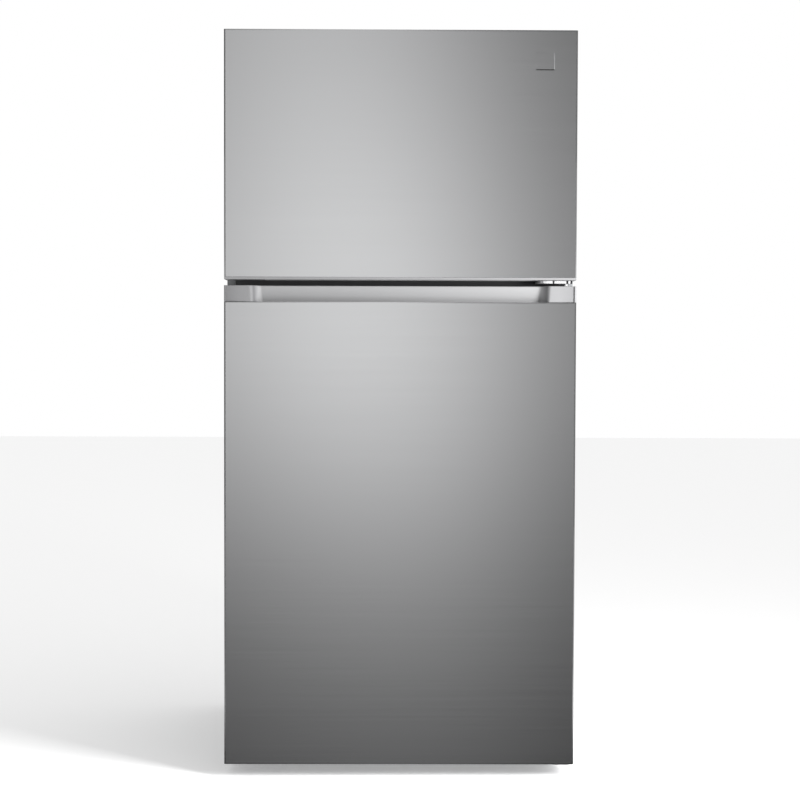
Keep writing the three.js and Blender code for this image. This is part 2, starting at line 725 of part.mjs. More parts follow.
// The control box under the ceiling, with an air duct down the back.
function controlHousing() {
  const top = fridgeCeiling - clearance;
  const bottom = top - control.height;
  const back = cavityDepth - clearance;
  const ductFront = back - duct.depth;
  const ductBottom = shelfLevels.upper + duct.above;
  const w = control.wall;
  let housing = span(control.halfWidth, control.front, back, bottom, top)
    .add(span(duct.half, ductFront, back, ductBottom, bottom + 1))
    .subtract(span(control.halfWidth - w, control.front + w, back - w, bottom + w, top + 1))
    .subtract(span(duct.half - w, ductFront + w, back - w, ductBottom + w, bottom + w + 1));
  for (let i = 0; i < duct.slots; i += 1) {
    const z = ductBottom + 30 + i * duct.slotPitch;
    const slot = span(duct.slotHalf, ductFront - 1, ductFront + w + 1, z, z + duct.slotHeight);
    housing = housing.subtract(slot);
  }
  return part('control_housing', housing, 'whitePlastic');
}

// A framed glass shelf. The glass sits in a rebate in the frame's top.
function glassShelf(name, level, back) {
  const half = cavityHalf - shelf.sideGap;
  const top = level + shelf.height;
  const glassHalf = half - shelf.rail + shelf.rebate;
  const rebate = shelf.rail - shelf.rebate;
  const seat = top - shelf.glass - clearance;
  const frame = span(half, shelf.front, back, level, top)
    .subtract(span(half - shelf.rail, shelf.front + shelf.rail, back - shelf.rail, level - 1, top + 1))
    .subtract(span(glassHalf, shelf.front + rebate, back - rebate, seat, top + 1));
  const pane = span(
    glassHalf - clearance, shelf.front + rebate + clearance, back - rebate - clearance,
    seat + clearance, top,
  );
  return [part(`${name}_frame`, frame, 'whitePlastic'), part(`${name}_glass`, pane, 'glass')];
}

function crisperDrawer(name, side) {
  const width = cavityHalf - crisper.gap / 2 - crisper.sideGap;
  const depth = crisperBack - crisperFront;
  const half = width / 2;
  const { height, radius, wall: w } = crisper;
  const outer = prismZ(roundedRectangle(-half, half, 0, depth, radius), 0, height, 3);
  const inner = prismZ(
    roundedRectangle(-half + w, half - w, w + 2, depth - w, radius - 2), w, height + 1, 3,
  );
  const pull = block(-half + 20, half - 20, -crisper.pull, 4, height - 22, height - 16);
  const x = side * (crisper.gap / 2 + half);
  const drawer = outer.subtract(inner).add(pull);
  return part(name, drawer, 'clearPlastic', [x, crisperFront, fridgeFloor + 1]);
}

function humiditySlider(name, side) {
  const half = slider.width / 2;
  const body = block(-half, half, -slider.depth, 0, 0, slider.height)
    .add(block(-2, 2, -slider.depth - 3, -1, 1, slider.height - 1));
  const position = [side * slider.offset, shelf.front - clearance, crisperCoverLevel + 3];
  return part(name, body, 'greyPlastic', position);
}

// ---------------------------------------------------------------- hinges and door switches

// The centre of the top hinge's plate, seen from its pin.
function topHingeReach() {
  return { x: -hingePin.fromSide - 42, y: -pinInCabinet + 12 };
}

function topHinge() {
  const reach = topHingeReach();
  const t = hingePlate.thickness;
  const base = block(reach.x - 45, reach.x + 22, reach.y - 8, reach.y + 50, 0, t);
  const arm = prismZ(armOutline(hingePlate.arm - 2, reach, 15), 0, t, 6);
  const pin = rod('z', hingePin.radius, -hingePin.length, 1, 0, 0, 16);
  return part('top_hinge', union(base, arm, pin), 'chrome', [pinX, pinInCabinet, cabinetTop + clearance]);
}

function topHingeCover() {
  const reach = topHingeReach();
  const height = lip.rise - 2;
  const y0 = reach.y - 10;
  const y1 = reach.y + 54;
  const gap = 1.2;
  const outside = union(
    block(reach.x - 50, reach.x + 28, y0, y1, clearance, height),
    prismZ(armOutline(hingePlate.arm, reach, 18.5), clearance + 1, height, 6),
  );
  const inside = union(
    block(reach.x - 45 - gap, reach.x + 22 + gap, y0 + gap, y1 - 3, -1, height - 2),
    prismZ(armOutline(hingePlate.arm - gap, reach, 16.5), -1, height - 2, 6),
  );
  const position = [pinX, pinInCabinet, cabinetTop];
  return part('top_hinge_cover', outside.subtract(inside), 'greyPlastic', position);
}

// A hinge plate seen from above, about its pin, reaching a distance towards the middle.
function hingePlateOutline(back, reach) {
  const front = -13;
  const corner = 9;
  const shape = new THREE.Shape();
  shape.moveTo(-reach, back);
  shape.quadraticCurveTo(-reach, front, 22 - reach, front);
  shape.lineTo(6, front);
  shape.absarc(6, front + corner, corner, -Math.PI / 2, 0);
  shape.lineTo(14, back);
  return shape;
}

// The upright flange that a lower hinge is screwed on by.
function hingeFlange(back, bottom, top) {
  return block(-54, railHalf - pinX, back - hingePlate.flange, back, bottom, top);
}

function middleHinge() {
  const back = -pinInCabinet - clearance;
  const bottom = door.gapBetween / 2 - hingePlate.middle - 1;
  const pinReach = door.gapBetween / 2 + hingePin.length;
  const hinge = union(
    prismZ(hingePlateOutline(back - 1, hingePlate.middleReach), bottom, bottom + hingePlate.middle, 5),
    hingeFlange(back, bottom, railLevels().top - 4 - dividerLevel),
    rod('z', hingePin.radius, -pinReach, pinReach, 0, 0),
  );
  return part('middle_hinge', hinge, 'chrome', [pinX, pinInCabinet, dividerLevel]);
}

function bottomHinge() {
  const back = -pinInCabinet - clearance;
  const top = -1.5;
  const bottom = top - hingePlate.thickness;
  const hinge = union(
    prismZ(hingePlateOutline(back - 1, hingePlate.reach), bottom, top, 5),
    hingeFlange(back, bottom, deckLevel - door.floorGap - 2),
    rod('z', hingePin.radius, top - 1, hingePin.length, 0, 0),
  );
  return part('bottom_hinge', hinge, 'chrome', [pinX, pinInCabinet, door.floorGap]);
}

function plungerLevels() {
  return [dividerLevel - door.gapBetween / 2 - 4, dividerLevel + door.gapBetween / 2 + 4];
}

function doorSwitch(name, level) {
  const front = -door.seal + clearance;
  const body = union(
    rod('y', plunger.radius, front, front + plunger.length, 0, 0, 10),
    rod('y', plunger.collar, 9, 11, 0, 0, 10),
  );
  return part(name, body, 'whitePlastic', [plungerX, 0, level]);
}

// ---------------------------------------------------------------- doors
// In a door's own frame, Y runs back from its front face and Z up from its base.

// The folded steel front: seen from above, a face, two sides and two hems.
function doorSkin(base, top) {
  const r = doorEdge.radius;
  const back = doorBack - doorEdge.hemSeat;
  const outer = new THREE.Shape();
  outer.moveTo(-halfWidth, back);
  outer.lineTo(-halfWidth, r);
  outer.absarc(-halfWidth + r, r, r, Math.PI, Math.PI * 1.5);
  outer.lineTo(halfWidth - r, 0);
  outer.absarc(halfWidth - r, r, r, -Math.PI / 2, 0);
  outer.lineTo(halfWidth, back);
  const inside = span(halfWidth - sheet, sheet, back - sheet, base - 1, top + 1);
  const behind = span(halfWidth - doorEdge.hem, sheet, back + 1, base - 1, top + 1);
  return prismZ(outer, base, top).subtract(inside).subtract(behind);
}

function doorInner() {
  return {
    half: shellInside,
    front: sheet + clearance,
    back: doorBack - doorEdge.hemSeat - sheet - clearance,
  };
}

function ringLevels(floor, ceiling, base) {
  return { bottom: floor + dyke.outerInset - base, top: ceiling - dyke.outerInset - base };
}

// The floor and top of the recess inside the ring.
function recessLevels(levels) {
  return { floor: levels.bottom + dyke.width, top: levels.top - dyke.width };
}

// The raised ring of a door liner, moved inwards by an inset on every face.
function dykeRing(levels, from, inset) {
  const back = doorBack + dyke.depth;
  const recess = recessLevels(levels);
  return span(dykeHalf - inset, from, back - inset, levels.bottom + inset, levels.top - inset)
    .subtract(span(recessHalf + inset, from - 1, back + 1, recess.floor - inset, recess.top + inset));
}

function doorLiner(name, levels, base, top, lugs) {
  const flange = span(halfWidth - 1, doorBack - skinWall, doorBack, base, top);
  const shell = flange.add(dykeRing(levels, doorBack - skinWall, 0));
  let liner = shell.subtract(dykeRing(levels, doorBack - skinWall - 1, skinWall));
  for (const z of lugs) {
    for (const side of [-1, 1]) {
      const inner = side * (recessHalf - 6);
      const outer = side * (recessHalf + 0.5);
      const [x0, x1] = [Math.min(inner, outer), Math.max(inner, outer)];
      liner = liner.add(block(x0, x1, doorBack + 20, doorBack + 50, z - 7 - clearance, z - clearance));
    }
  }
  return part(name, liner, 'whitePlastic');
}

function doorFoam(name, levels, base, top, cutouts) {
  const inner = doorInner();
  let foam = span(inner.half, inner.front, inner.back, base, top)
    .add(dykeRing(levels, inner.back - 4, skinWall + clearance)
      .add(span(dykeHalf - skinWall - clearance, inner.back - 4, doorBack - skinWall - clearance,
        levels.bottom + skinWall + clearance, levels.top - skinWall - clearance)));
  for (const cut of cutouts) {
    foam = foam.subtract(cut);
  }
  return part(name, foam, 'foam');
}

function doorGasket(name, bottom, top) {
  const half = halfWidth - gasket.edgeInset;
  const ring = roundedFrame(-half, half, bottom, top, gasket.radius, gasket.width);
  const strip = prismY(ring, doorBack + clearance, doorBack + door.seal - clearance, 3);
  return part(name, strip, 'rubber');
}

function doorBin(name, level, height) {
  const half = recessHalf - bin.sideGap;
  const front = doorBack + skinWall;
  const back = front + bin.depth;
  const w = bin.wall;
  const outer = prismZ(roundedRectangle(-half, half, front, back, bin.radius), level, level + height, 3);
  const inner = prismZ(
    roundedRectangle(w - half, half - w, front + w, back - w, bin.radius - w),
    level + w, level + height + 1, 3,
  );
  const lugSlots = union(...[-1, 1].map((side) => {
    const x = side * (half - 3);
    return block(x - 4, x + 4, doorBack + 19, doorBack + 51, level - 8, level - 0.01);
  }));
  return part(name, outer.subtract(inner).subtract(lugSlots), 'clearPlastic');
}

function pinHole(from, to) {
  return rod('z', hingePin.hole, from, to, pinX, pinY, 16);
}

// ---------------------------------------------------------------- freezer door

function freezerDoor() {
  const height = door.freezerHeight;
  const shoulder = height - lip.height;
  const inner = doorInner();
  const levels = ringLevels(freezerFloor, freezerCeiling, freezerBase);
  const skinBase = doorCap.visible + clearance;

  const skin = doorSkin(skinBase, height)
    .subtract(span(halfWidth + 1, lip.depth, doorBack + 1, shoulder, height + 1));

  const topCap = union(
    span(inner.half, inner.front, inner.back, shoulder - doorCap.height, shoulder),
    span(inner.half - doorEdge.radius, inner.front, lip.depth, shoulder - 2, height - 1),
  ).subtract(pinHole(shoulder - doorCap.height - 1, shoulder + 1));

  const gripBack = grip.setBack + grip.depth;
  const bottomCap = union(
    span(halfWidth - 0.5, 0.5, inner.back, 0, doorCap.visible),
    span(inner.half, inner.front, inner.back, doorCap.visible - 1, doorCap.height),
  )
    .subtract(span(halfWidth - grip.fromSide, grip.setBack, gripBack, -1, grip.height))
    .subtract(pinHole(-1, doorCap.height + 1));

  const foamBase = doorCap.height + clearance;
  const foamTop = shoulder - doorCap.height - clearance;
  const gasketTop = cabinetTop - gasket.edgeInset - 2 - freezerBase;
  const recess = recessLevels(levels);
  const binLevels = {
    lower: recess.floor + binRest.freezer,
    upper: (recess.floor + recess.top) / 2 + binRest.freezer,
  };
  return groupAt(
    0, doorFront, freezerBase,
    part('freezer_door_skin', skin, 'stainless'),
    part('freezer_door_top_cap', topCap, 'greyPlastic'),
    part('freezer_door_bottom_cap', bottomCap, 'satinTrim'),
    doorFoam('freezer_door_foam', levels, foamBase, foamTop, [
      pinHole(foamBase - 1, foamBase + hingePin.length),
    ]),
    doorLiner('freezer_door_liner', levels, 1, shoulder, Object.values(binLevels)),
    doorGasket('freezer_door_gasket', gasket.fromDoorEnd, gasketTop),
    doorBin('freezer_door_lower_bin', binLevels.lower, binHeight.freezer),
    doorBin('freezer_door_upper_bin', binLevels.upper, binHeight.freezer),
    badgePlate(height),
  );
}

function badgePlate(height) {
  const x = halfWidth - badge.fromRight;
  const z = height - badge.fromTop;
  const [u, v] = [badge.width / 2, badge.height / 2];
  const plate = roundedRectangle(-u, u, -v, v, 3);
  const solid = prismY(plate, -badge.thickness, 0, 4);
  return part('badge', solid, 'stainless', [x, -clearance, z]);
}

// ---------------------------------------------------------------- fridge door

// The space scooped out of the handle trim: open in front above the lip, and deeper behind it.
function pocketOutline(seam, top, grow) {
  const lipBack = pocket.lipThickness - grow;
  const back = pocket.depth + grow;
  const bottom = seam - pocket.below - grow;
  const shape = new THREE.Shape();
  shape.moveTo(-2, seam);
  shape.lineTo(lipBack, seam);
  shape.lineTo(lipBack, bottom + 10);
  shape.quadraticCurveTo(lipBack, bottom, lipBack + 10, bottom);
  shape.quadraticCurveTo(back - 2, bottom, back, bottom + 22);
  shape.quadraticCurveTo(back + 2, seam + 10, back - 10, top + 1);
  shape.lineTo(-2, top + 1);
  return shape;
}

function pocketCutter(seam, top) {
  const half = halfWidth - trim.capWidth;
  const middle = half - trim.endSlant;
  const deep = prismX(pocketOutline(seam, top, 0), -middle, middle, 5);
  const flare = prismX(outline([
    [-2, seam], [pocket.lipThickness, seam], [pocket.lipThickness, seam - 10],
    [pocket.depth * 0.55, seam - 12], [pocket.depth * 0.62, top + 1], [-2, top + 1],
  ]), -half, half, 2);
  return deep.add(flare);
}

function handleTrim(seam, top) {
  const inner = doorInner();
  const half = halfWidth - trim.capWidth + pocket.wall;
  const tub = span(
    half, inner.front, pocket.depth + pocket.wall + 2, seam - pocket.below - pocket.wall, seam + 2,
  );
  const bar = prismZ(
    roundedRectangle(-halfWidth, halfWidth, 0, inner.back, doorEdge.radius), seam + clearance, top, 3,
  );
  const handle = bar.add(tub)
    .subtract(pocketCutter(seam + clearance, top))
    .subtract(pinHole(top - doorCap.height, top + 1));
  return part('handle_trim', handle, 'satinTrim');
}

function trimCutout(seam) {
  const half = halfWidth - trim.capWidth + pocket.wall + clearance;
  const back = pocket.depth + pocket.wall + 2 + clearance;
  return span(half, 0, back, seam - pocket.below - pocket.wall - clearance, seam + 100);
}

// A bin under the fridge door's top edge, with holes in its ends for the cover's pins.
function dairyBin(level, height) {
  const half = recessHalf - bin.sideGap;
  const front = doorBack + skinWall;
  const w = bin.wall;
  const solid = span(half, front, front + bin.depth - 6, level, level + height)
    .subtract(span(half - w, front + w, front + bin.depth, level + w, level + height + 1))
    .subtract(rod(
      'x', dairyPin.hole, -half - 1, half + 1, front + bin.depth - dairyPin.fromBack,
      level + height - dairyPin.fromTop, 12,
    ));
  return part('dairy_bin', solid, 'clearPlastic');
}

// The cover hangs from pins at its top, so its origin is on their axis.
function dairyCover(level, height) {
  const half = recessHalf - bin.sideGap - bin.wall;
  const y = doorBack + skinWall + bin.depth - dairyPin.fromBack;
  const z = level + height - dairyPin.fromTop;
  const bottom = -height + 14;
  const pinHalf = half + bin.wall - 0.5;
  const body = union(
    span(half - 1.5, -1.5, 1.5, bottom, dairyPin.dropAbove),
    rod('x', dairyPin.radius, -pinHalf, pinHalf, 0, 0, 10),
    span(40, 1, 6, bottom + 2, bottom + 6),
  );
  return part('dairy_cover', body, 'clearPlastic', [0, y, z]);
}

function fridgeDoor() {
  const height = fridgeHeight;
  const seam = height - trim.height;
  const inner = doorInner();
  const levels = ringLevels(fridgeFloor, fridgeCeiling, door.floorGap);
  const foamBase = doorCap.height + clearance;
  const bottomCap = span(inner.half, inner.front, inner.back, 0.5, doorCap.height)
    .subtract(pinHole(-1, doorCap.height + 1));
  const recess = recessLevels(levels);
  const dairy = { height: binHeight.dairy, level: recess.top - binHeight.dairy - 4 };
  const lowerBin = recess.floor + binRest.fridge;
  const middleBin = (lowerBin + dairy.level) / 2;
  return groupAt(
    0, doorFront, door.floorGap,
    part('fridge_door_skin', doorSkin(0, seam), 'stainless'),
    handleTrim(seam, height),
    part('fridge_door_bottom_cap', bottomCap, 'greyPlastic'),
    doorFoam('fridge_door_foam', levels, foamBase, seam - clearance, [trimCutout(seam)]),
    doorLiner('fridge_door_liner', levels, 1, height - 1, [lowerBin, middleBin, dairy.level]),
    doorGasket('fridge_door_gasket', gasket.fromDoorBase, height - gasket.fromDoorEnd),
    doorBin('fridge_door_lower_bin', lowerBin, binHeight.lower),
    doorBin('fridge_door_middle_bin', middleBin, binHeight.middle),
    dairyBin(dairy.level, dairy.height),
    dairyCover(dairy.level, dairy.height),
  );
}

// ---------------------------------------------------------------- assembly

function cabinet() {
  const [fridgeSwitchLevel, freezerSwitchLevel] = plungerLevels();
  const footX = halfWidth - foot.fromSide;
  const rollerX = halfWidth - roller.fromSide;
  const housingFront = control.front - clearance;
  const dialLevel = fridgeCeiling - control.height / 2;
  const freezerDialPosition = [
    cavityHalf - dial.fromSide, coverFront - clearance, freezerCeiling - dial.below,
  ];
  return groupAt(
    0, cabinetFront, 0,
    cabinetShell(),
    cabinetBack(),
    foamInsulation(),
    freezerLiner(),
    fridgeLiner(),
    dividerRail(),
    baseFrame(),
    levellingFoot('left_front_foot', -footX),
    levellingFoot('right_front_foot', footX),
    rearRoller('left_rear_roller', -rollerX),
    rearRoller('right_rear_roller', rollerX),
    compressor(),
    condenserCoil(),
    condenserFan(),
    condenserFanMotor(),
    machineCover(),
    cordInlet(),
    evaporator(),
    evaporatorCover(),
    evaporatorFan(),
    evaporatorFanMotor(),
    freezerShelf(),
    knob('freezer_dial', freezerDialPosition),
    controlHousing(),
    knob('fridge_dial', [dial.offset, housingFront, dialLevel]),
    ...glassShelf('lower_shelf', shelfLevels.lower, shelfBack),
    ...glassShelf('upper_shelf', shelfLevels.upper, shelfBack),
    ...glassShelf('crisper_cover', crisperCoverLevel, crisperCoverBack),
    crisperDrawer('left_crisper', -1),
    crisperDrawer('right_crisper', 1),
    humiditySlider('left_humidity_slider', -1),
    humiditySlider('right_humidity_slider', 1),
    topHinge(),
    topHingeCover(),
    middleHinge(),
    bottomHinge(),
    doorSwitch('fridge_door_switch', fridgeSwitchLevel),
    doorSwitch('freezer_door_switch', freezerSwitchLevel),
  );
}

const refrigerator = new THREE.Group();
refrigerator.add(cabinet(), freezerDoor(), fridgeDoor());

export default refrigerator;
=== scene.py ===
"""Looks for the top freezer refrigerator: materials, fine meshes, floor, light and camera."""
import json
import math

import bmesh
import bpy
from mathutils import Matrix, Vector


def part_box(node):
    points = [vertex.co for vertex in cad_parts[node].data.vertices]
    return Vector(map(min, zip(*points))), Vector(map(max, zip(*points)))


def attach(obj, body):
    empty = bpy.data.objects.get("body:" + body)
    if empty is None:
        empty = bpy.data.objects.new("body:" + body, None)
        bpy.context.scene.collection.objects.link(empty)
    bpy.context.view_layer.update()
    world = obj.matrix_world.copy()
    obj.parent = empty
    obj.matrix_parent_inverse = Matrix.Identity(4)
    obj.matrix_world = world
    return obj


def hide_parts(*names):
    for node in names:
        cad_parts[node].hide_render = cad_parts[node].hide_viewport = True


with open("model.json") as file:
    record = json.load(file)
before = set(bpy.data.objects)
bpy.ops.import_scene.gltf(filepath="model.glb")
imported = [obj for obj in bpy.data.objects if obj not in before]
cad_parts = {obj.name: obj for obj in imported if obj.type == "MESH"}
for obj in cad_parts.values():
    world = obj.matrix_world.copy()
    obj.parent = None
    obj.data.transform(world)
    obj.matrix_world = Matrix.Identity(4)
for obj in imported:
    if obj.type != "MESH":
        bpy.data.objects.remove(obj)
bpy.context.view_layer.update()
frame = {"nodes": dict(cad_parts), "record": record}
nodes = frame["nodes"]
scene = bpy.context.scene
MM = 0.001

# ------------------------------------------------------------------ camera
CAMERA_PLACE = Vector((-0.027, -4.184, 1.025))
CAMERA_YAW = math.radians(0.41)
CAMERA_PITCH = math.radians(1.89)
CAMERA_ROLL = math.radians(0.18)
CAMERA_LENS = 72.0


def make_camera():
    data = bpy.data.cameras.new("camera")
    data.lens = CAMERA_LENS
    data.sensor_width = 36.0
    data.clip_end = 60.0
    camera = bpy.data.objects.new("camera", data)
    scene.collection.objects.link(camera)
    forward = Vector((
        math.sin(CAMERA_YAW) * math.cos(CAMERA_PITCH),
        math.cos(CAMERA_YAW) * math.cos(CAMERA_PITCH),
        -math.sin(CAMERA_PITCH),
    ))
    turn = forward.to_track_quat("-Z", "Y").to_matrix().to_4x4()
    camera.matrix_world = Matrix.Translation(CAMERA_PLACE) @ turn @ Matrix.Rotation(CAMERA_ROLL, 4, "Z")
    scene.camera = camera


make_camera()


# ------------------------------------------------------------------ material helpers
class Nodes:
    """A material's node tree, with short ways to add and join nodes."""

    def __init__(self, name):
        self.material = bpy.data.materials.new(name)
        self.material.use_nodes = True
        self.tree = self.material.node_tree
        self.shader = self.tree.nodes["Principled BSDF"]

    def set(self, **values):
        for key, value in values.items():
            self.shader.inputs[key.replace("_", " ")].default_value = value
        return self

    def add(self, kind, **values):
        node = self.tree.nodes.new(kind)
        for key, value in values.items():
            if hasattr(node, key) and key not in node.inputs:
                setattr(node, key, value)
            else:
                node.inputs[key].default_value = value
        return node

    def join(self, output, target):
        self.tree.links.new(output, target)

    def stretched(self, scale):
        """Object coordinates, in metres, stretched by a scale on each axis."""
        place = self.add("ShaderNodeTexCoord")
        mapping = self.add("ShaderNodeMapping", Scale=scale)
        self.join(place.outputs["Object"], mapping.inputs["Vector"])
        return mapping.outputs["Vector"]

    def noise(self, scale, vector, detail=3.0, roughness=0.5):
        node = self.add("ShaderNodeTexNoise", Scale=scale, Detail=detail, Roughness=roughness)
        self.join(vector, node.inputs["Vector"])
        return node.outputs["Fac"]

    def ramp(self, value, stops):
        node = self.add("ShaderNodeValToRGB")
        for _ in stops[2:]:
            node.color_ramp.elements.new(0.5)
        for element, (position, shade) in zip(node.color_ramp.elements, stops):
            element.position = position
            element.color = (*shade, 1) if isinstance(shade, tuple) else (shade, shade, shade, 1)
        self.join(value, node.inputs["Fac"])
        return node.outputs["Color"]

    def paint(self, value, stops):
        """Base colour from a ramp over a value."""
        self.join(self.ramp(value, stops), self.shader.inputs["Base Color"])

    def range(self, value, low, high):
        node = self.add("ShaderNodeMapRange")
        node.inputs["To Min"].default_value = low
        node.inputs["To Max"].default_value = high
        self.join(value, node.inputs["Value"])
        return node.outputs["Result"]

    def math(self, operation, a, b):
        node = self.add("ShaderNodeMath", operation=operation)
        for socket, value in zip(node.inputs, (a, b)):
            if isinstance(value, (int, float)):
                socket.default_value = value
            else:
                self.join(value, socket)
        return node.outputs["Value"]

    def bump(self, height, strength, distance):
        node = self.add("ShaderNodeBump", Strength=strength, Distance=distance)
        self.join(height, node.inputs["Height"])
        self.join(node.outputs["Normal"], self.shader.inputs["Normal"])


def shades(colour, factor):
    return tuple(min(1.0, c * factor) for c in colour)


# ------------------------------------------------------------------ materials
def brushed_stainless(name, colour, roughness):
    """Fine horizontal grain: long thin streaks in colour, roughness and height."""
    m = Nodes(name).set(Metallic=1.0)
    streak = m.noise(1.0, m.stretched((1.6, 1.6, 210)), 4.0, 0.6)
    hair = m.noise(1.0, m.stretched((5, 5, 1500)), 3.0, 0.6)
    mixed = m.math("ADD", m.math("MULTIPLY", streak, 0.55), m.math("MULTIPLY", hair, 0.45))
    m.paint(mixed, [(0.3, shades(colour, 0.972)), (0.7, shades(colour, 1.024))])
    m.join(m.range(mixed, roughness - 0.04, roughness + 0.04), m.shader.inputs["Roughness"])
    grain = m.add("ShaderNodeTangent", direction_type="RADIAL", axis="Z")
    m.join(grain.outputs["Tangent"], m.shader.inputs["Tangent"])
    m.shader.inputs["Anisotropic"].default_value = 0.4
    m.shader.inputs["Anisotropic Rotation"].default_value = 0.25
    m.bump(hair, 0.04, 0.0001)
    return m.material


def trim_paint_with_painted_light(name, colour, painted_shade_colour, face_colour, front):
    """Satin metallic paint with painted light and shade by depth behind the door's face: painted light
    brightest at the bottom of the hollow, painted shade deepest where its ends curve in.
    """
    m = Nodes(name).set(Metallic=0.2)
    grain = m.noise(900.0, m.stretched((1, 1, 1)), 2.0, 0.6)
    place = m.add("ShaderNodeSeparateXYZ")
    m.join(m.stretched((1, 1, 1)), place.inputs["Vector"])
    # Painted light and shade by depth behind the door's face: the front face first, painted shade partway in
    # where the hollow's ends curve, painted light at full depth.
    behind = m.math("MULTIPLY", m.math("SUBTRACT", place.outputs["Y"], front), 50.0)
    painted_light_and_shade = m.math("MULTIPLY", m.math("MINIMUM", behind, 1.0), 0.9)
    painted_light_and_shade = m.math("ADD", painted_light_and_shade, m.math("MULTIPLY", grain, 0.1))
    # The three stops: the front face's colour, the painted shade at the hollow's ends, the painted light at the
    # hollow's back.
    m.paint(painted_light_and_shade, [(0.1, face_colour), (0.36, painted_shade_colour), (0.93, colour)])
    m.join(m.range(grain, 0.38, 0.46), m.shader.inputs["Roughness"])
    m.bump(grain, 0.05, 0.0001)
    return m.material


def textured_paint(name, colour, roughness, pebble, strength=0.25):
    """Powder or pebble-textured paint on sheet steel."""
    m = Nodes(name).set(Metallic=0.0)
    grain = m.noise(pebble, m.stretched((1, 1, 1)), 3.0, 0.55)
    drift = m.noise(3.0, m.stretched((1, 1, 1)), 2.0, 0.5)
    shade = m.math("ADD", m.math("MULTIPLY", grain, 0.35), m.math("MULTIPLY", drift, 0.65))
    m.paint(shade, [(0.3, shades(colour, 0.92)), (0.7, shades(colour, 1.07))])
    m.join(m.range(grain, roughness - 0.06, roughness + 0.06), m.shader.inputs["Roughness"])
    m.bump(grain, strength, 0.0004)
    return m.material


def moulded_plastic(name, colour, roughness, texture=1400.0, strength=0.08):
    m = Nodes(name)
    grain = m.noise(texture, m.stretched((1, 1, 1)), 2.0, 0.5)
    drift = m.noise(2.5, m.stretched((1, 1, 1)), 2.0, 0.5)
    m.paint(drift, [(0.3, shades(colour, 0.97)), (0.7, shades(colour, 1.02))])
    m.join(m.range(grain, roughness - 0.05, roughness + 0.05), m.shader.inputs["Roughness"])
    m.bump(grain, strength, 0.0002)
    return m.material


def galvanised_steel(name):
    """Zinc spangle: angular patches a few millimetres across."""
    m = Nodes(name).set(Metallic=0.45)
    cells = m.add("ShaderNodeTexVoronoi", Scale=110.0)
    m.join(m.stretched((1, 1, 1)), cells.inputs["Vector"])
    value = m.add("ShaderNodeSeparateColor")
    m.join(cells.outputs["Color"], value.inputs["Color"])
    patch = value.outputs["Red"]
    m.paint(patch, [(0.0, (0.49, 0.50, 0.51)), (1.0, (0.60, 0.61, 0.625))])
    m.join(m.range(patch, 0.40, 0.50), m.shader.inputs["Roughness"])
    m.bump(patch, 0.03, 0.0002)
    return m.material


def clear_material(name, tint, roughness, alpha_like=0.9, ior=1.5):
    """Clear moulded plastic or glass: a thin tinted sheet with a little surface haze."""
    m = Nodes(name).set(IOR=ior)
    m.shader.inputs["Transmission Weight"].default_value = alpha_like
    haze = m.noise(6.0, m.stretched((1, 1, 1)), 2.0, 0.5)
    m.paint(haze, [(0.3, shades(tint, 0.97)), (0.7, tint)])
    m.join(m.range(haze, roughness, roughness + 0.05), m.shader.inputs["Roughness"])
    return m.material


def soft_rubber(name, colour):
    m = Nodes(name)
    grain = m.noise(700.0, m.stretched((1, 1, 1)), 2.0, 0.5)
    m.paint(grain, [(0.3, shades(colour, 0.9)), (0.7, shades(colour, 1.1))])
    m.join(m.range(grain, 0.55, 0.7), m.shader.inputs["Roughness"])
    m.bump(grain, 0.1, 0.0002)
    return m.material


def rigid_foam(name):
    m = Nodes(name)
    cells = m.noise(160.0, m.stretched((1, 1, 1)), 4.0, 0.6)
    m.paint(cells, [(0.35, (0.55, 0.42, 0.18)), (0.65, (0.74, 0.62, 0.36))])
    m.set(Roughness=0.9)
    m.bump(cells, 0.5, 0.001)
    return m.material


def plain_metal(name, colour, roughness, grain_scale=(300, 300, 300), metallic=1.0):
    m = Nodes(name).set(Metallic=metallic)
    grain = m.noise(1.0, m.stretched(grain_scale), 3.0, 0.5)
    m.paint(grain, [(0.3, shades(colour, 0.93)), (0.7, shades(colour, 1.05))])
    m.join(m.range(grain, roughness - 0.05, roughness + 0.05), m.shader.inputs["Roughness"])
    m.bump(grain, 0.04, 0.0002)
    return m.material


DOOR_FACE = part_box("fridge_door_skin")[0].y
MATERIALS = {
    "stainless": brushed_stainless("stainless", (0.60, 0.603, 0.61), 0.20),
    # The trim's colours: the back of the hollow painted lighter, its ends painted in shade, and the front face.
    "satin_trim": trim_paint_with_painted_light(
        "satin_trim", (0.35, 0.35, 0.355), (0.17, 0.17, 0.175), (0.255, 0.255, 0.26), DOOR_FACE),
    "grey_paint": textured_paint("grey_paint", (0.19, 0.195, 0.20), 0.42, 420.0),
    "dark_paint": textured_paint("dark_paint", (0.06, 0.06, 0.063), 0.5, 700.0, 0.15),
    "galvanised": galvanised_steel("galvanised"),
    "foam": rigid_foam("foam"),
    "white_plastic": moulded_plastic("white_plastic", (0.80, 0.815, 0.82), 0.32),
    "grey_plastic": moulded_plastic("grey_plastic", (0.22, 0.225, 0.23), 0.45, 900.0, 0.15),
    "clear_plastic": clear_material("clear_plastic", (0.90, 0.955, 0.97), 0.06),
    "shelf_glass": clear_material("shelf_glass", (0.84, 0.94, 0.915), 0.01, 1.0, 1.52),
    "seal": soft_rubber("seal", (0.30, 0.305, 0.31)),
    "black_plastic": moulded_plastic("black_plastic", (0.022, 0.022, 0.024), 0.5, 900.0, 0.2),
    "black_enamel": textured_paint("black_enamel", (0.014, 0.014, 0.015), 0.24, 260.0, 0.1),
    "copper": plain_metal("copper", (0.72, 0.36, 0.21), 0.28),
    "bare_aluminium": plain_metal("bare_aluminium", (0.72, 0.73, 0.74), 0.36),
    "plated": plain_metal("plated", (0.86, 0.86, 0.87), 0.26, metallic=0.5),
}

SLOT_OF = {row["node"]: row["material_slot"] for row in frame["record"]["subparts"]}


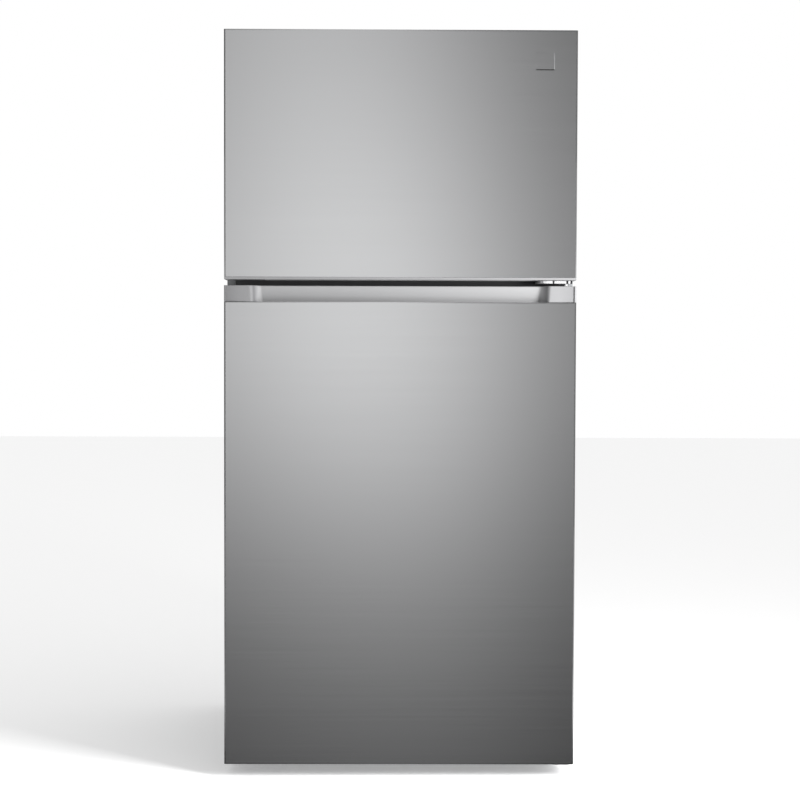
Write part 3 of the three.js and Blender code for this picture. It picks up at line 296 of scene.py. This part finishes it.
# ------------------------------------------------------------------ mesh helpers
def add_rounding(item, width, segments=2, angle=35.0):
    """Softly rounded edges on a faceted mesh."""
    tidy = item.modifiers.new("merge_flats", "DECIMATE")
    tidy.decimate_type = "DISSOLVE"
    tidy.angle_limit = math.radians(0.5)
    bevel = item.modifiers.new("edges", "BEVEL")
    bevel.width = width
    bevel.segments = segments
    bevel.limit_method = "ANGLE"
    bevel.angle_limit = math.radians(angle)
    bevel.harden_normals = True
    item.data.shade_smooth()


def make_piece(name, mesh, body, slot, replaced=()):
    piece = bpy.data.objects.new(name, mesh)
    scene.collection.objects.link(piece)
    mesh.materials.append(MATERIALS[slot])
    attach(piece, body)
    if replaced:
        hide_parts(*replaced)
    return piece


def mesh_of(name, vertices, faces, weld=0.0):
    mesh = bpy.data.meshes.new(name)
    mesh.from_pydata([tuple(v) for v in vertices], [], faces)
    shape = bmesh.new()
    shape.from_mesh(mesh)
    if weld:
        bmesh.ops.remove_doubles(shape, verts=shape.verts, dist=weld)
    bmesh.ops.recalc_face_normals(shape, faces=shape.faces)
    shape.to_mesh(mesh)
    shape.free()
    mesh.shade_smooth()
    return mesh


def loft(rings, closed=True):
    """Vertices and faces through equal rings of points, with capped ends."""
    count = len(rings[0])
    vertices = [point for ring in rings for point in ring]
    faces = []
    last = count if closed else count - 1
    for i in range(len(rings) - 1):
        for j in range(last):
            k = (j + 1) % count
            faces.append((i * count + j, i * count + k, (i + 1) * count + k, (i + 1) * count + j))
    if closed:
        faces.append(tuple(range(count)))
        faces.append(tuple((len(rings) - 1) * count + j for j in range(count)))
    return vertices, faces


def round_ring(centre, radius, across, up, sides):
    """Points of a circle about a centre, in the plane of two unit vectors."""
    angles = [2 * math.pi * k / sides for k in range(sides)]
    return [centre + radius * (math.cos(angle) * across + math.sin(angle) * up) for angle in angles]


def tube(points, radius, sides=12):
    """A round tube through a list of points."""
    rings = []
    normal = None
    for i, point in enumerate(points):
        ahead = points[min(i + 1, len(points) - 1)] - points[max(i - 1, 0)]
        ahead.normalize()
        if normal is None:
            normal = ahead.orthogonal().normalized()
        normal = (normal - ahead * normal.dot(ahead)).normalized()
        side = ahead.cross(normal)
        rings.append(round_ring(point, radius, normal, side, sides))
    return loft(rings)


def joined(parts):
    """One list of vertices and faces out of several."""
    vertices = []
    faces = []
    for some_vertices, some_faces in parts:
        start = len(vertices)
        vertices += some_vertices
        faces += [tuple(start + k for k in face) for face in some_faces]
    return vertices, faces


def lathe(profile, place, axis, sides=24):
    """A profile of (radius, height) turned about an axis through a place."""
    axis = axis.normalized()
    normal = axis.orthogonal().normalized()
    side = axis.cross(normal)
    rings = []
    for radius, height in profile:
        rings.append(round_ring(place + axis * height, radius, normal, side, sides))
    return loft(rings)


def slab(low, high):
    """The eight corners and six faces of an upright block."""
    xs, ys, zs = zip(low, high)
    corners = [Vector((x, y, z)) for z in zs for y in ys for x in xs]
    faces = [(0, 2, 3, 1), (4, 5, 7, 6), (0, 1, 5, 4), (2, 6, 7, 3), (0, 4, 6, 2), (1, 3, 7, 5)]
    return corners, faces


def sharpen(piece, degrees=30.0):
    """Keeps real edges crisp on a smooth mesh."""
    shape = bmesh.new()
    shape.from_mesh(piece.data)
    for edge in shape.edges:
        if len(edge.link_faces) == 2 and edge.calc_face_angle(0.0) > math.radians(degrees):
            edge.smooth = False
    shape.to_mesh(piece.data)
    shape.free()


# ------------------------------------------------------------------ CAD nodes as they are
EDGE_WIDTHS = {
    "badge": 1.0, "freezer_door_bottom_cap": 2.2, "freezer_door_top_cap": 0.8, "middle_hinge": 0.6,
    "lower_shelf_frame": 1.5, "upper_shelf_frame": 1.5, "crisper_cover_frame": 1.5, "control_housing": 3.0,
    "freezer_door_liner": 3.0, "fridge_door_liner": 3.0, "fridge_liner": 2.5, "freezer_liner": 2.5,
    "top_hinge_cover": 1.2, "machine_cover": 0.3, "freezer_door_gasket": 2.0, "fridge_door_gasket": 2.0,
}
FINE_EDGE = 0.4


def dress_cad_nodes():
    for name, node in nodes.items():
        node.data.materials.clear()
        node.data.materials.append(MATERIALS[SLOT_OF[name]])
        add_rounding(node, EDGE_WIDTHS.get(name, FINE_EDGE) * MM, segments=3 if name in EDGE_WIDTHS else 2)


dress_cad_nodes()


# ------------------------------------------------------------------ door skins
SKIN_SHEET = 1.1 * MM
HEM = 10 * MM


def door_skin(node_name, body, profile, radii, open_sides):
    """A folded steel front: an extruded outline with rounded front edges, opened and given its sheet."""
    low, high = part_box(node_name)
    shape = bmesh.new()
    ends = []
    for x in (low.x, high.x):
        ends.append([shape.verts.new((x, y, z)) for y, z in profile])
    count = len(profile)
    shape.faces.new(ends[0])
    shape.faces.new(list(reversed(ends[1])))
    for j in range(count):
        k = (j + 1) % count
        shape.faces.new((ends[0][j], ends[1][j], ends[1][k], ends[0][k]))
    bmesh.ops.recalc_face_normals(shape, faces=shape.faces)

    def is_level(edge, z):
        return all(abs(vertex.co.z - z) < 1e-6 for vertex in edge.verts)

    for key in ("sides", "top", "bottom"):
        radius = radii[key]
        chosen = []
        for edge in shape.edges:
            if not all(abs(vertex.co.y - low.y) < 1e-6 for vertex in edge.verts):
                continue
            along_x = abs(edge.verts[0].co.x - edge.verts[1].co.x) > 0.1
            if key == "sides" and not along_x and abs(edge.verts[0].co.z - edge.verts[1].co.z) > 0.1:
                chosen.append(edge)
            if key == "top" and along_x and is_level(edge, high.z):
                chosen.append(edge)
            if key == "bottom" and along_x and is_level(edge, low.z):
                chosen.append(edge)
        if chosen and radius:
            bmesh.ops.bevel(shape, geom=chosen, offset=radius, segments=8, profile=0.5, affect="EDGES")

    def faces_facing(direction, reach):
        axis = Vector(direction)
        return [
            face for face in shape.faces
            if face.normal.dot(axis) > 0.99 and face.calc_center_median().dot(axis) > reach
        ]

    back = faces_facing((0, 1, 0), high.y - 1e-4)
    bmesh.ops.inset_region(shape, faces=back, thickness=HEM)
    bmesh.ops.delete(shape, geom=back, context="FACES")
    for direction, reach in open_sides:
        bmesh.ops.delete(shape, geom=faces_facing(direction, reach), context="FACES")
    mesh = bpy.data.meshes.new(f"{node_name}_fine")
    shape.to_mesh(mesh)
    shape.free()
    mesh.shade_smooth()
    piece = make_piece(f"{node_name}_fine", mesh, body, "stainless", (node_name,))
    sheet = piece.modifiers.new("sheet", "SOLIDIFY")
    sheet.thickness = SKIN_SHEET
    sheet.offset = -1.0
    sheet.use_even_offset = True
    smooth = piece.modifiers.new("weighted_normals", "WEIGHTED_NORMAL")
    smooth.keep_sharp = True
    return piece


def freezer_skin():
    low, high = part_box("freezer_door_skin")
    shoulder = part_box("freezer_door_top_cap")[1].z - 25 * MM
    lip_back = low.y + 8 * MM
    profile = [
        (low.y, low.z), (high.y, low.z), (high.y, shoulder), (lip_back, shoulder),
        (lip_back, high.z), (low.y, high.z),
    ]
    radii = {"sides": 4 * MM, "top": 3.2 * MM, "bottom": 0.4 * MM}
    open_sides = [((0, 0, -1), -low.z - 1e-4), ((0, 1, 0), lip_back - 1e-4)]
    door_skin("freezer_door_skin", "freezer_door", profile, radii, open_sides)


def fridge_skin():
    low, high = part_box("fridge_door_skin")
    profile = [(low.y, low.z), (high.y, low.z), (high.y, high.z), (low.y, high.z)]
    radii = {"sides": 4 * MM, "top": 1.9 * MM, "bottom": 2.5 * MM}
    door_skin("fridge_door_skin", "fridge_door", profile, radii, [((0, 0, -1), -low.z - 1e-4)])


# ------------------------------------------------------------------ handle trim
POCKET = {"end": 353.5 * MM, "lean": 3 * MM, "run": 27 * MM, "top": 24 * MM, "deep": 33 * MM, "below": 28 * MM}
LIP = 7 * MM
TUB_FRONT = 1.6 * MM


def eased(t):
    t = min(1.0, max(0.0, t))
    return t * t * (3 - 2 * t)


def arc_points(centre, radius, start, end, count):
    for i in range(count + 1):
        angle = math.radians(start + (end - start) * i / count)
        yield centre[0] + radius * math.cos(angle), centre[1] + radius * math.sin(angle)


def trim_section(x, corner, seam, top, depth):
    """The trim's outline at one x, as (depth behind the door's face, height)."""
    reach = POCKET["end"] - abs(x)

    def share(height):
        lean = POCKET["lean"] * (height - seam) / (top - seam)
        return eased((reach + lean) / POCKET["run"])

    edge = 2.0 * MM
    lower_edge = 2.0 * MM
    points = [(depth, top)]
    wall_top = corner + share(top) * POCKET["top"]
    for u, v in arc_points((wall_top + edge, top - edge), edge, 90, 180, 6):
        points.append((u, v))
    steps = 16
    for i in range(1, steps):
        height = (top - edge) + (seam + lower_edge - top + edge) * i / steps
        fall = i / steps
        bow = POCKET["top"] + (POCKET["deep"] - POCKET["top"]) * (1 - math.cos(fall * math.pi / 2))
        points.append((corner + share(height) * bow, height))
    s = share(seam)
    blend = 1.0 - s
    for u, v in arc_points((corner + lower_edge, seam + lower_edge), lower_edge, 180, 270, 4):
        points.append((blend * u + s * POCKET["deep"], blend * v + s * (seam + lower_edge)))
    below = POCKET["below"] * s
    middle = (POCKET["deep"] + LIP) / 2
    half = (POCKET["deep"] - LIP) / 2
    for i in range(11):
        angle = math.pi * i / 10
        u = middle + half * math.cos(angle)
        v = seam - below * math.sin(angle) ** 0.6
        points.append((corner + lower_edge * blend + s * u, v))
    front = corner + lower_edge * blend + s * TUB_FRONT
    floor = seam - s * (POCKET["below"] + 2 * MM)
    rear = corner + lower_edge * blend + s * (POCKET["deep"] + 4 * MM)
    points += [(front, seam), (front, floor), (rear, floor), (rear, seam), (depth, seam)]
    return points


def trim_stations(half):
    """Places along x: close together at the outer corners and the pocket's ends."""
    radius = 4 * MM
    right = [half - radius * (1 - math.cos(math.radians(90 - 11.25 * i))) for i in range(9)]
    places = [(x, radius - math.sqrt(max(0.0, radius ** 2 - (x - half + radius) ** 2))) for x in right]
    start = POCKET["end"] + 6 * MM
    places += [(start - i * 1.25 * MM, 0.0) for i in range(32)]
    places += [((start - 40 * MM) * k, 0.0) for k in (0.97, 0.8, 0.5, 0.25)]
    places.append((0.0, 0.0))
    left = [(-x, corner) for x, corner in places[:-1]]
    return left + list(reversed(places))


def fine_handle_trim():
    low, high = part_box("handle_trim")
    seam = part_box("fridge_door_skin")[1].z + 0.3 * MM
    depth = high.y - low.y
    stations = trim_stations(high.x)
    rings = []
    for x, corner in stations:
        section = trim_section(x, corner, seam, high.z, depth)
        rings.append([Vector((x, low.y + u, v)) for u, v in section])
    vertices, faces = loft(rings)
    mesh = mesh_of("handle_trim_fine", vertices, faces, weld=0.02 * MM)
    piece = make_piece("handle_trim_fine", mesh, "fridge_door", "satin_trim", ("handle_trim",))
    sharpen(piece, 40.0)


freezer_skin()
fridge_skin()
fine_handle_trim()


# ------------------------------------------------------------------ small parts
OUT_BACK = Vector((0, 1, 0))
OUT_FRONT = Vector((0, -1, 0))
UP = Vector((0, 0, 1))


def touch(node_name, start, direction):
    """Where a ray from outside first meets a node."""
    node = nodes[node_name]
    inverse = node.matrix_world.inverted()
    hit, place, _, _ = node.ray_cast(inverse @ start, (inverse.to_3x3() @ direction).normalized())
    return node.matrix_world @ place if hit else None


def hex_head(place, axis, size):
    """A washer-faced hexagon head standing on a surface."""
    washer = lathe([
        (0.2 * size, -0.3 * MM), (size, -0.3 * MM), (size, 0.7 * MM), (0.93 * size, 1.1 * MM),
        (0.55 * size, 1.3 * MM),
    ], place, axis, 24)
    head = lathe([
        (0.2 * size, 0.9 * MM), (0.66 * size, 0.9 * MM), (0.66 * size, 3.3 * MM), (0.58 * size, 3.8 * MM),
        (0.42 * size, 3.9 * MM), (0.36 * size, 3.4 * MM),
    ], place, axis, 6)
    return joined([washer, head])


def screws(name, node_name, places, axis, size, body="cabinet", slot="plated"):
    """A set of screws, each standing where it meets the node."""
    heads = []
    for place in places:
        surface = touch(node_name, place, -axis)
        if surface is not None:
            heads.append(hex_head(surface, axis, size))
    if not heads:
        return
    piece = make_piece(name, mesh_of(name, *joined(heads)), body, slot)
    sharpen(piece, 25.0)


def all_screws():
    low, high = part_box("cabinet_back")
    out = high.y + 20 * MM
    inset = 7 * MM
    levels = [low.z + inset + (high.z - low.z - 2 * inset) * k / 6 for k in range(7)]
    places = [Vector((x, out, z)) for x in (low.x + inset, high.x - inset) for z in levels]
    places += [Vector((low.x + (high.x - low.x) * k / 4, out, high.z - inset)) for k in (1, 2, 3)]
    screws("back_panel_screws", "cabinet_back", places, OUT_BACK, 4.5 * MM)
    low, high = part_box("machine_cover")
    across = [low.x + 12 * MM, low.x * 0.5, 0.0, high.x * 0.5, high.x - 12 * MM]
    places = [Vector((x, out, z)) for x in across for z in (low.z + 9 * MM, high.z - 9 * MM)]
    screws("machine_cover_screws", "machine_cover", places, OUT_BACK, 4.5 * MM)
    low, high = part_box("evaporator_cover")
    ahead = low.y - 60 * MM
    places = [Vector((x, ahead, high.z - 18 * MM)) for x in (low.x + 20 * MM, high.x - 20 * MM)]
    screws("evaporator_cover_screws", "evaporator_cover", places, OUT_FRONT, 3.6 * MM)
    low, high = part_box("bottom_hinge")
    places = [Vector((x, low.y - 20 * MM, high.z - 9 * MM)) for x in (low.x + 10 * MM, low.x + 34 * MM)]
    screws("bottom_hinge_screws", "bottom_hinge", places, OUT_FRONT, 4.5 * MM)
    low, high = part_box("middle_hinge")
    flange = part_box("divider_rail")[0].y
    places = [Vector((x, flange - 14 * MM, high.z - 16 * MM)) for x in (low.x + 12 * MM, low.x + 50 * MM)]
    screws("middle_hinge_screws", "middle_hinge", places, OUT_FRONT, 4.0 * MM)


def standing_ring(low, high, edge, inset, z, steps=5):
    """A level outline with rounded corners, inside an upright block."""
    points = []
    corners = [(high.x, high.y, 0), (low.x, high.y, 90), (low.x, low.y, 180), (high.x, low.y, 270)]
    for x, y, start in corners:
        centre_x = x - math.copysign(edge, x - (low.x + high.x) / 2)
        centre_y = y - math.copysign(edge, y - (low.y + high.y) / 2)
        for u, v in arc_points((centre_x, centre_y), edge - inset, start, start + 90, steps):
            points.append(Vector((u, v, z)))
    return points


def rounded_block(low, high, edge):
    """An upright block with its four standing edges rounded and its rims eased."""
    fine = edge * 0.4
    levels = [(fine, low.z), (0.0, low.z + fine), (0.0, high.z - fine), (fine, high.z)]
    return loft([standing_ring(low, high, edge, inset, z) for inset, z in levels])


def tray(low, high, edge, wall):
    """An open tray with rounded corners."""
    rim = high.z - 1.2 * MM
    heel = low.z + 4 * MM
    levels = [
        (4 * MM, low.z), (1 * MM, heel), (0.0, rim), (0.6 * MM, high.z), (wall - 0.4 * MM, high.z), (wall, rim),
        (wall + 1 * MM, heel + wall), (wall + 4 * MM, low.z + wall),
    ]
    return loft([standing_ring(low, high, edge, inset, z, 6) for inset, z in levels])


LENS = {"half": 62 * MM, "depth": 70 * MM, "set_back": 40 * MM, "thickness": 3.5 * MM, "edge": 9 * MM}
LENS_RIB = {"count": 6, "pitch": 10 * MM, "width": 2 * MM, "half": 48 * MM, "proud": 0.9 * MM}


def lamp():
    """A frosted, ribbed lens under the control housing."""
    low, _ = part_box("control_housing")
    front = low.y + LENS["set_back"]
    surface = touch("control_housing", Vector((0, front + LENS["depth"] / 2, low.z + 20 * MM)), UP)
    if surface is None:
        return
    bottom = surface.z - LENS["thickness"]
    pieces = [rounded_block(
        Vector((-LENS["half"], front, bottom)),
        Vector((LENS["half"], front + LENS["depth"], surface.z - 0.2 * MM)), LENS["edge"])]
    for k in range(1, LENS_RIB["count"] + 1):
        y = front + k * LENS_RIB["pitch"]
        pieces.append(slab(
            (-LENS_RIB["half"], y, bottom - LENS_RIB["proud"]),
            (LENS_RIB["half"], y + LENS_RIB["width"], bottom + 0.3 * MM)))
    piece = make_piece("lamp_lens", mesh_of("lamp_lens", *joined(pieces)), "cabinet", "white_plastic")
    sharpen(piece, 40.0)


def drain_pan():
    coil_low, coil_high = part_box("condenser_coil")
    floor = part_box("compressor")[0].z + 0.4 * MM
    low = Vector((coil_low.x + 10 * MM, coil_low.y - 98 * MM, floor))
    high = Vector((coil_high.x - 6 * MM, coil_low.y - 10 * MM, floor + 34 * MM))
    mesh = mesh_of("drain_pan", *tray(low, high, 14 * MM, 2 * MM))
    pan = make_piece("drain_pan", mesh, "cabinet", "black_plastic")
    sharpen(pan, 50.0)


def compressor_centre():
    low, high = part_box("compressor")
    return Vector(((low.x + high.x) / 2, (low.y + high.y) / 2, low.z))


def grommets():
    """Rubber sleeves round the compressor's four feet."""
    centre = compressor_centre()
    half = (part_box("compressor")[1].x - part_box("compressor")[0].x) / 2
    sleeves = []
    for x in (13 * MM - half, half - 13 * MM):
        for y in (-43 * MM, 43 * MM):
            sleeves.append(lathe([
                (9 * MM, 0.3 * MM), (12.5 * MM, 0.3 * MM), (13 * MM, 3 * MM), (11.6 * MM, 5 * MM),
                (13 * MM, 7 * MM), (12.2 * MM, 9.6 * MM), (9 * MM, 9.8 * MM),
            ], centre + Vector((x, y, 0)), UP, 28))
    mesh = mesh_of("compressor_grommets", *joined(sleeves))
    piece = make_piece("compressor_grommets", mesh, "cabinet", "seal")
    sharpen(piece, 50.0)


def bends(corners, radius, steps=7):
    """A path through corners, each turned into a smooth bend."""
    path = [corners[0]]
    for before, corner, after in zip(corners, corners[1:], corners[2:]):
        into = (before - corner).normalized()
        out = (after - corner).normalized()
        reach = min(radius, (before - corner).length * 0.49, (after - corner).length * 0.49)
        start = corner + into * reach
        end = corner + out * reach
        for i in range(steps + 1):
            t = i / steps
            path.append(start * (1 - t) ** 2 + corner * (2 * t * (1 - t)) + end * t ** 2)
    path.append(corners[-1])
    return path


def pipes():
    """Discharge pipe to the condenser, and the suction pipe up into the cabinet."""
    centre = compressor_centre()
    coil_low, coil_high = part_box("condenser_coil")
    behind = centre.y + 62 * MM
    level = centre.z + 22 * MM
    discharge = bends([
        centre + Vector((-60 * MM, 30 * MM, 74 * MM)),
        Vector((centre.x - 92 * MM, centre.y + 34 * MM, centre.z + 74 * MM)),
        Vector((centre.x - 92 * MM, behind, level)),
        Vector((coil_high.x + 24 * MM, behind, level)),
        Vector((coil_high.x + 24 * MM, coil_low.y + 3 * MM, coil_low.z + 3 * MM)),
        Vector((coil_high.x - 12 * MM, coil_low.y + 3 * MM, coil_low.z + 3 * MM)),
    ], 16 * MM)
    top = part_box("compressor")[1].z
    front_wall = centre.y - 112 * MM
    suction = bends([
        centre + Vector((-50 * MM, -36 * MM, 90 * MM)),
        centre + Vector((-96 * MM, -50 * MM, 90 * MM)),
        Vector((centre.x - 96 * MM, centre.y - 50 * MM, top - 10 * MM)),
        Vector((centre.x - 96 * MM, front_wall, top - 10 * MM)),
    ], 16 * MM)
    mesh = mesh_of("refrigerant_pipes", *joined([tube(discharge, 2.6 * MM, 14), tube(suction, 4.0 * MM, 14)]))
    make_piece("refrigerant_pipes", mesh, "cabinet", "copper")


def fine_freezer_shelf():
    """Round wires in place of the faceted ones."""
    low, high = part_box("freezer_shelf")
    frame_radius = (high.z - low.z) / 2
    level = (low.z + high.z) / 2
    inner_low = low + Vector((1, 1, 0)) * frame_radius
    inner_high = high - Vector((1, 1, 0)) * frame_radius
    middle = Vector(((low.x + high.x) / 2, inner_low.y, level))
    rim = [
        middle, Vector((inner_high.x, inner_low.y, level)), Vector((inner_high.x, inner_high.y, level)),
        Vector((inner_low.x, inner_high.y, level)), Vector((inner_low.x, inner_low.y, level)),
        middle + Vector((0.01 * MM, 0, 0)),
    ]
    wires = [tube(bends(rim, 5 * MM), frame_radius, 16)]
    for share in (1 / 3, 2 / 3):
        y = low.y + (high.y - low.y) * share
        wires.append(tube([Vector((inner_low.x, y, level)), Vector((inner_high.x, y, level))], 2.5 * MM, 14))
    count = 25
    for i in range(1, count):
        x = low.x + (high.x - low.x) * i / count
        ends = [Vector((x, y, level + 1.2 * MM)) for y in (inner_low.y, inner_high.y)]
        wires.append(tube(ends, 1.5 * MM, 10))
    mesh = mesh_of("freezer_shelf_fine", *joined(wires))
    piece = make_piece("freezer_shelf_fine", mesh, "cabinet", "white_plastic", ("freezer_shelf",))
    sharpen(piece, 60.0)


COIL_RUNS = 6


def fine_condenser_coil():
    """A smooth serpentine in place of the faceted one."""
    low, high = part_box("condenser_coil")
    radius = (high.y - low.y) / 2
    pitch = (high.z - low.z - 2 * radius) / (COIL_RUNS - 1)
    y = (low.y + high.y) / 2
    left = low.x + radius
    right = high.x - radius
    corners = [Vector((right - pitch / 2, y, low.z + radius))]
    for run in range(COIL_RUNS):
        z = low.z + radius + run * pitch
        side = left if run % 2 == 0 else right
        corners.append(Vector((side, y, z)))
        if run < COIL_RUNS - 1:
            corners.append(Vector((side, y, z + pitch)))
    mesh = mesh_of("condenser_coil_fine", *tube(bends(corners, pitch / 2, 10), radius, 14))
    make_piece("condenser_coil_fine", mesh, "cabinet", "copper", ("condenser_coil",))


def hinge_shade_blocks():
    """Dark plastic blocks on the middle hinge's front edge: painted shade on the sides of the hinge pin and at
    the bracket's edge.
    """
    low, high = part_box("middle_hinge")
    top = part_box("freezer_door_bottom_cap")[0].z - 0.3 * MM
    shade_blocks = []
    # Painted shade: each block sits where a side of the hinge pin or the bracket's edge falls dark.
    for from_right, width in ((46 * MM, 4 * MM), (13.5 * MM, 5 * MM), (3.5 * MM, 4.5 * MM)):
        x = high.x - from_right
        shade_blocks.append(rounded_block(
            Vector((x - width / 2, low.y - 0.8 * MM, top - 7.4 * MM)),
            Vector((x + width / 2, low.y + 5 * MM, top)), 0.7 * MM))
    piece = make_piece("hinge_shade_blocks", mesh_of("hinge_shade_blocks", *joined(shade_blocks)), "cabinet", "black_plastic")
    sharpen(piece, 40.0)



def fine_badge():
    """A plain square plate with a sloping rim."""
    low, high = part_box("badge")
    middle = (low + high) / 2
    rim = 1.8 * MM

    def ring(inset, y):
        half_x = (high.x - low.x) / 2 - inset
        half_z = (high.z - low.z) / 2 - inset
        edge = max(0.4 * MM, 2.0 * MM - inset)
        points = []
        for sign_x, sign_z, start in ((1, 1, 0), (-1, 1, 90), (-1, -1, 180), (1, -1, 270)):
            centre = (middle.x + sign_x * (half_x - edge), middle.z + sign_z * (half_z - edge))
            for u, v in arc_points(centre, edge, start, start + 90, 5):
                points.append(Vector((u, y, v)))
        return points

    mesh = mesh_of("badge_fine", *loft([
        ring(0.0, high.y), ring(0.0, high.y - 0.3 * MM), ring(rim, low.y),
    ]))
    piece = make_piece("badge_fine", mesh, "freezer_door", "stainless", ("badge",))
    sharpen(piece, 20.0)


all_screws()
fine_badge()
lamp()
drain_pan()
grommets()
pipes()
fine_freezer_shelf()
fine_condenser_coil()
# Painted shade at the middle hinge's front edge.
hinge_shade_blocks()


# ------------------------------------------------------------------ floor and light
def make_floor():
    size = 14.0
    mesh = mesh_of("floor", [(-size, -size, 0), (size, -size, 0), (size, size, 0), (-size, size, 0)],
                   [(0, 1, 2, 3)])
    floor = bpy.data.objects.new("floor", mesh)
    scene.collection.objects.link(floor)
    m = Nodes("floor").set(Roughness=1.0)
    m.shader.inputs["Base Color"].default_value = (0.97, 0.97, 0.97, 1)
    m.shader.inputs["Specular IOR Level"].default_value = 0.0
    m.shader.inputs["Emission Color"].default_value = (1, 1, 1, 1)
    m.shader.inputs["Emission Strength"].default_value = 0.25
    floor.data.materials.append(m.material)
    floor.visible_glossy = False


def make_world():
    """A white room to the eye, and a soft graded studio to glossy surfaces."""
    world = bpy.data.worlds.new("studio")
    scene.world = world
    world.use_nodes = True
    tree = world.node_tree
    tree.nodes.clear()
    link = tree.links.new

    def new(kind, **settings):
        node = tree.nodes.new(kind)
        for key, value in settings.items():
            setattr(node, key, value)
        return node

    def maths(operation, a, b=0.0):
        node = new("ShaderNodeMath", operation=operation)
        for socket, value in zip(node.inputs, (a, b)):
            if isinstance(value, (int, float)):
                socket.default_value = value
            else:
                link(value, socket)
        return node.outputs["Value"]

    def ramp(value, stops):
        node = new("ShaderNodeValToRGB")
        node.color_ramp.interpolation = "B_SPLINE"
        for _ in stops[2:]:
            node.color_ramp.elements.new(0.5)
        for element, (position, shade) in zip(node.color_ramp.elements, stops):
            element.position = position
            element.color = (shade, shade, shade, 1)
        link(value, node.inputs["Fac"])
        return node.outputs["Color"]

    direction = new("ShaderNodeTexCoord")
    split = new("ShaderNodeSeparateXYZ")
    link(direction.outputs["Generated"], split.inputs["Vector"])
    ahead = maths("MAXIMUM", maths("ABSOLUTE", split.outputs["Y"]), 0.05)
    across = maths("DIVIDE", split.outputs["X"], ahead)
    sheared = maths("ADD", across, maths("MULTIPLY", split.outputs["Z"], 0.12))
    side = maths("ADD", maths("MULTIPLY", sheared, 0.5), 0.5)
    height = maths("ADD", maths("MULTIPLY", split.outputs["Z"], 0.5), 0.5)
    by_side = ramp(side, [
        (0.0, 0.42), (0.33, 0.12), (0.42, 0.30), (0.465, 0.80), (0.50, 1.0), (0.53, 0.62), (0.56, 0.13),
        (0.62, 0.14), (0.75, 0.50), (1.0, 0.60),
    ])
    by_height = ramp(height, [
        (0.0, 0.01), (0.34, 0.02), (0.40, 0.13), (0.45, 0.40), (0.49, 1.0), (0.52, 1.0), (0.56, 0.72),
        (0.62, 0.46), (1.0, 0.40),
    ])
    product = new("ShaderNodeMixRGB", blend_type="MULTIPLY")
    product.inputs["Fac"].default_value = 1.0
    link(by_side, product.inputs["Color1"])
    link(by_height, product.inputs["Color2"])
    glossy = new("ShaderNodeBackground")
    glossy.inputs["Strength"].default_value = 1.75
    link(product.outputs["Color"], glossy.inputs["Color"])
    soft = new("ShaderNodeBackground")
    soft.inputs["Strength"].default_value = 1.0
    from_right = maths("ADD", maths("MULTIPLY", split.outputs["X"], 0.5), 0.5)
    link(ramp(from_right, [(0.0, 0.22), (0.5, 0.76), (1.0, 1.0)]), soft.inputs["Color"])
    white = new("ShaderNodeBackground")
    white.inputs["Color"].default_value = (1, 1, 1, 1)
    white.inputs["Strength"].default_value = 1.0
    rays = new("ShaderNodeLightPath")
    unseen = new("ShaderNodeMixShader")
    link(rays.outputs["Is Glossy Ray"], unseen.inputs["Fac"])
    link(soft.outputs["Background"], unseen.inputs[1])
    link(glossy.outputs["Background"], unseen.inputs[2])
    choose = new("ShaderNodeMixShader")
    link(rays.outputs["Is Camera Ray"], choose.inputs["Fac"])
    link(unseen.outputs["Shader"], choose.inputs[1])
    link(white.outputs["Background"], choose.inputs[2])
    output = new("ShaderNodeOutputWorld")
    link(choose.outputs["Shader"], output.inputs["Surface"])


def make_lights():
    data = bpy.data.lights.new("right_light", "AREA")
    data.shape = "RECTANGLE"
    data.size = 0.5
    data.size_y = 1.4
    data.energy = 54.0
    light = bpy.data.objects.new("right_light", data)
    scene.collection.objects.link(light)
    light.location = (1.15, -1.35, 1.25)
    light.rotation_mode = "QUATERNION"
    light.rotation_quaternion = (Vector((0.1, -0.4, 1.15)) - light.location).to_track_quat("-Z", "Y")
    light.visible_camera = False
    light.visible_glossy = False


make_floor()
make_world()
make_lights()
scene.view_settings.view_transform = "Standard"
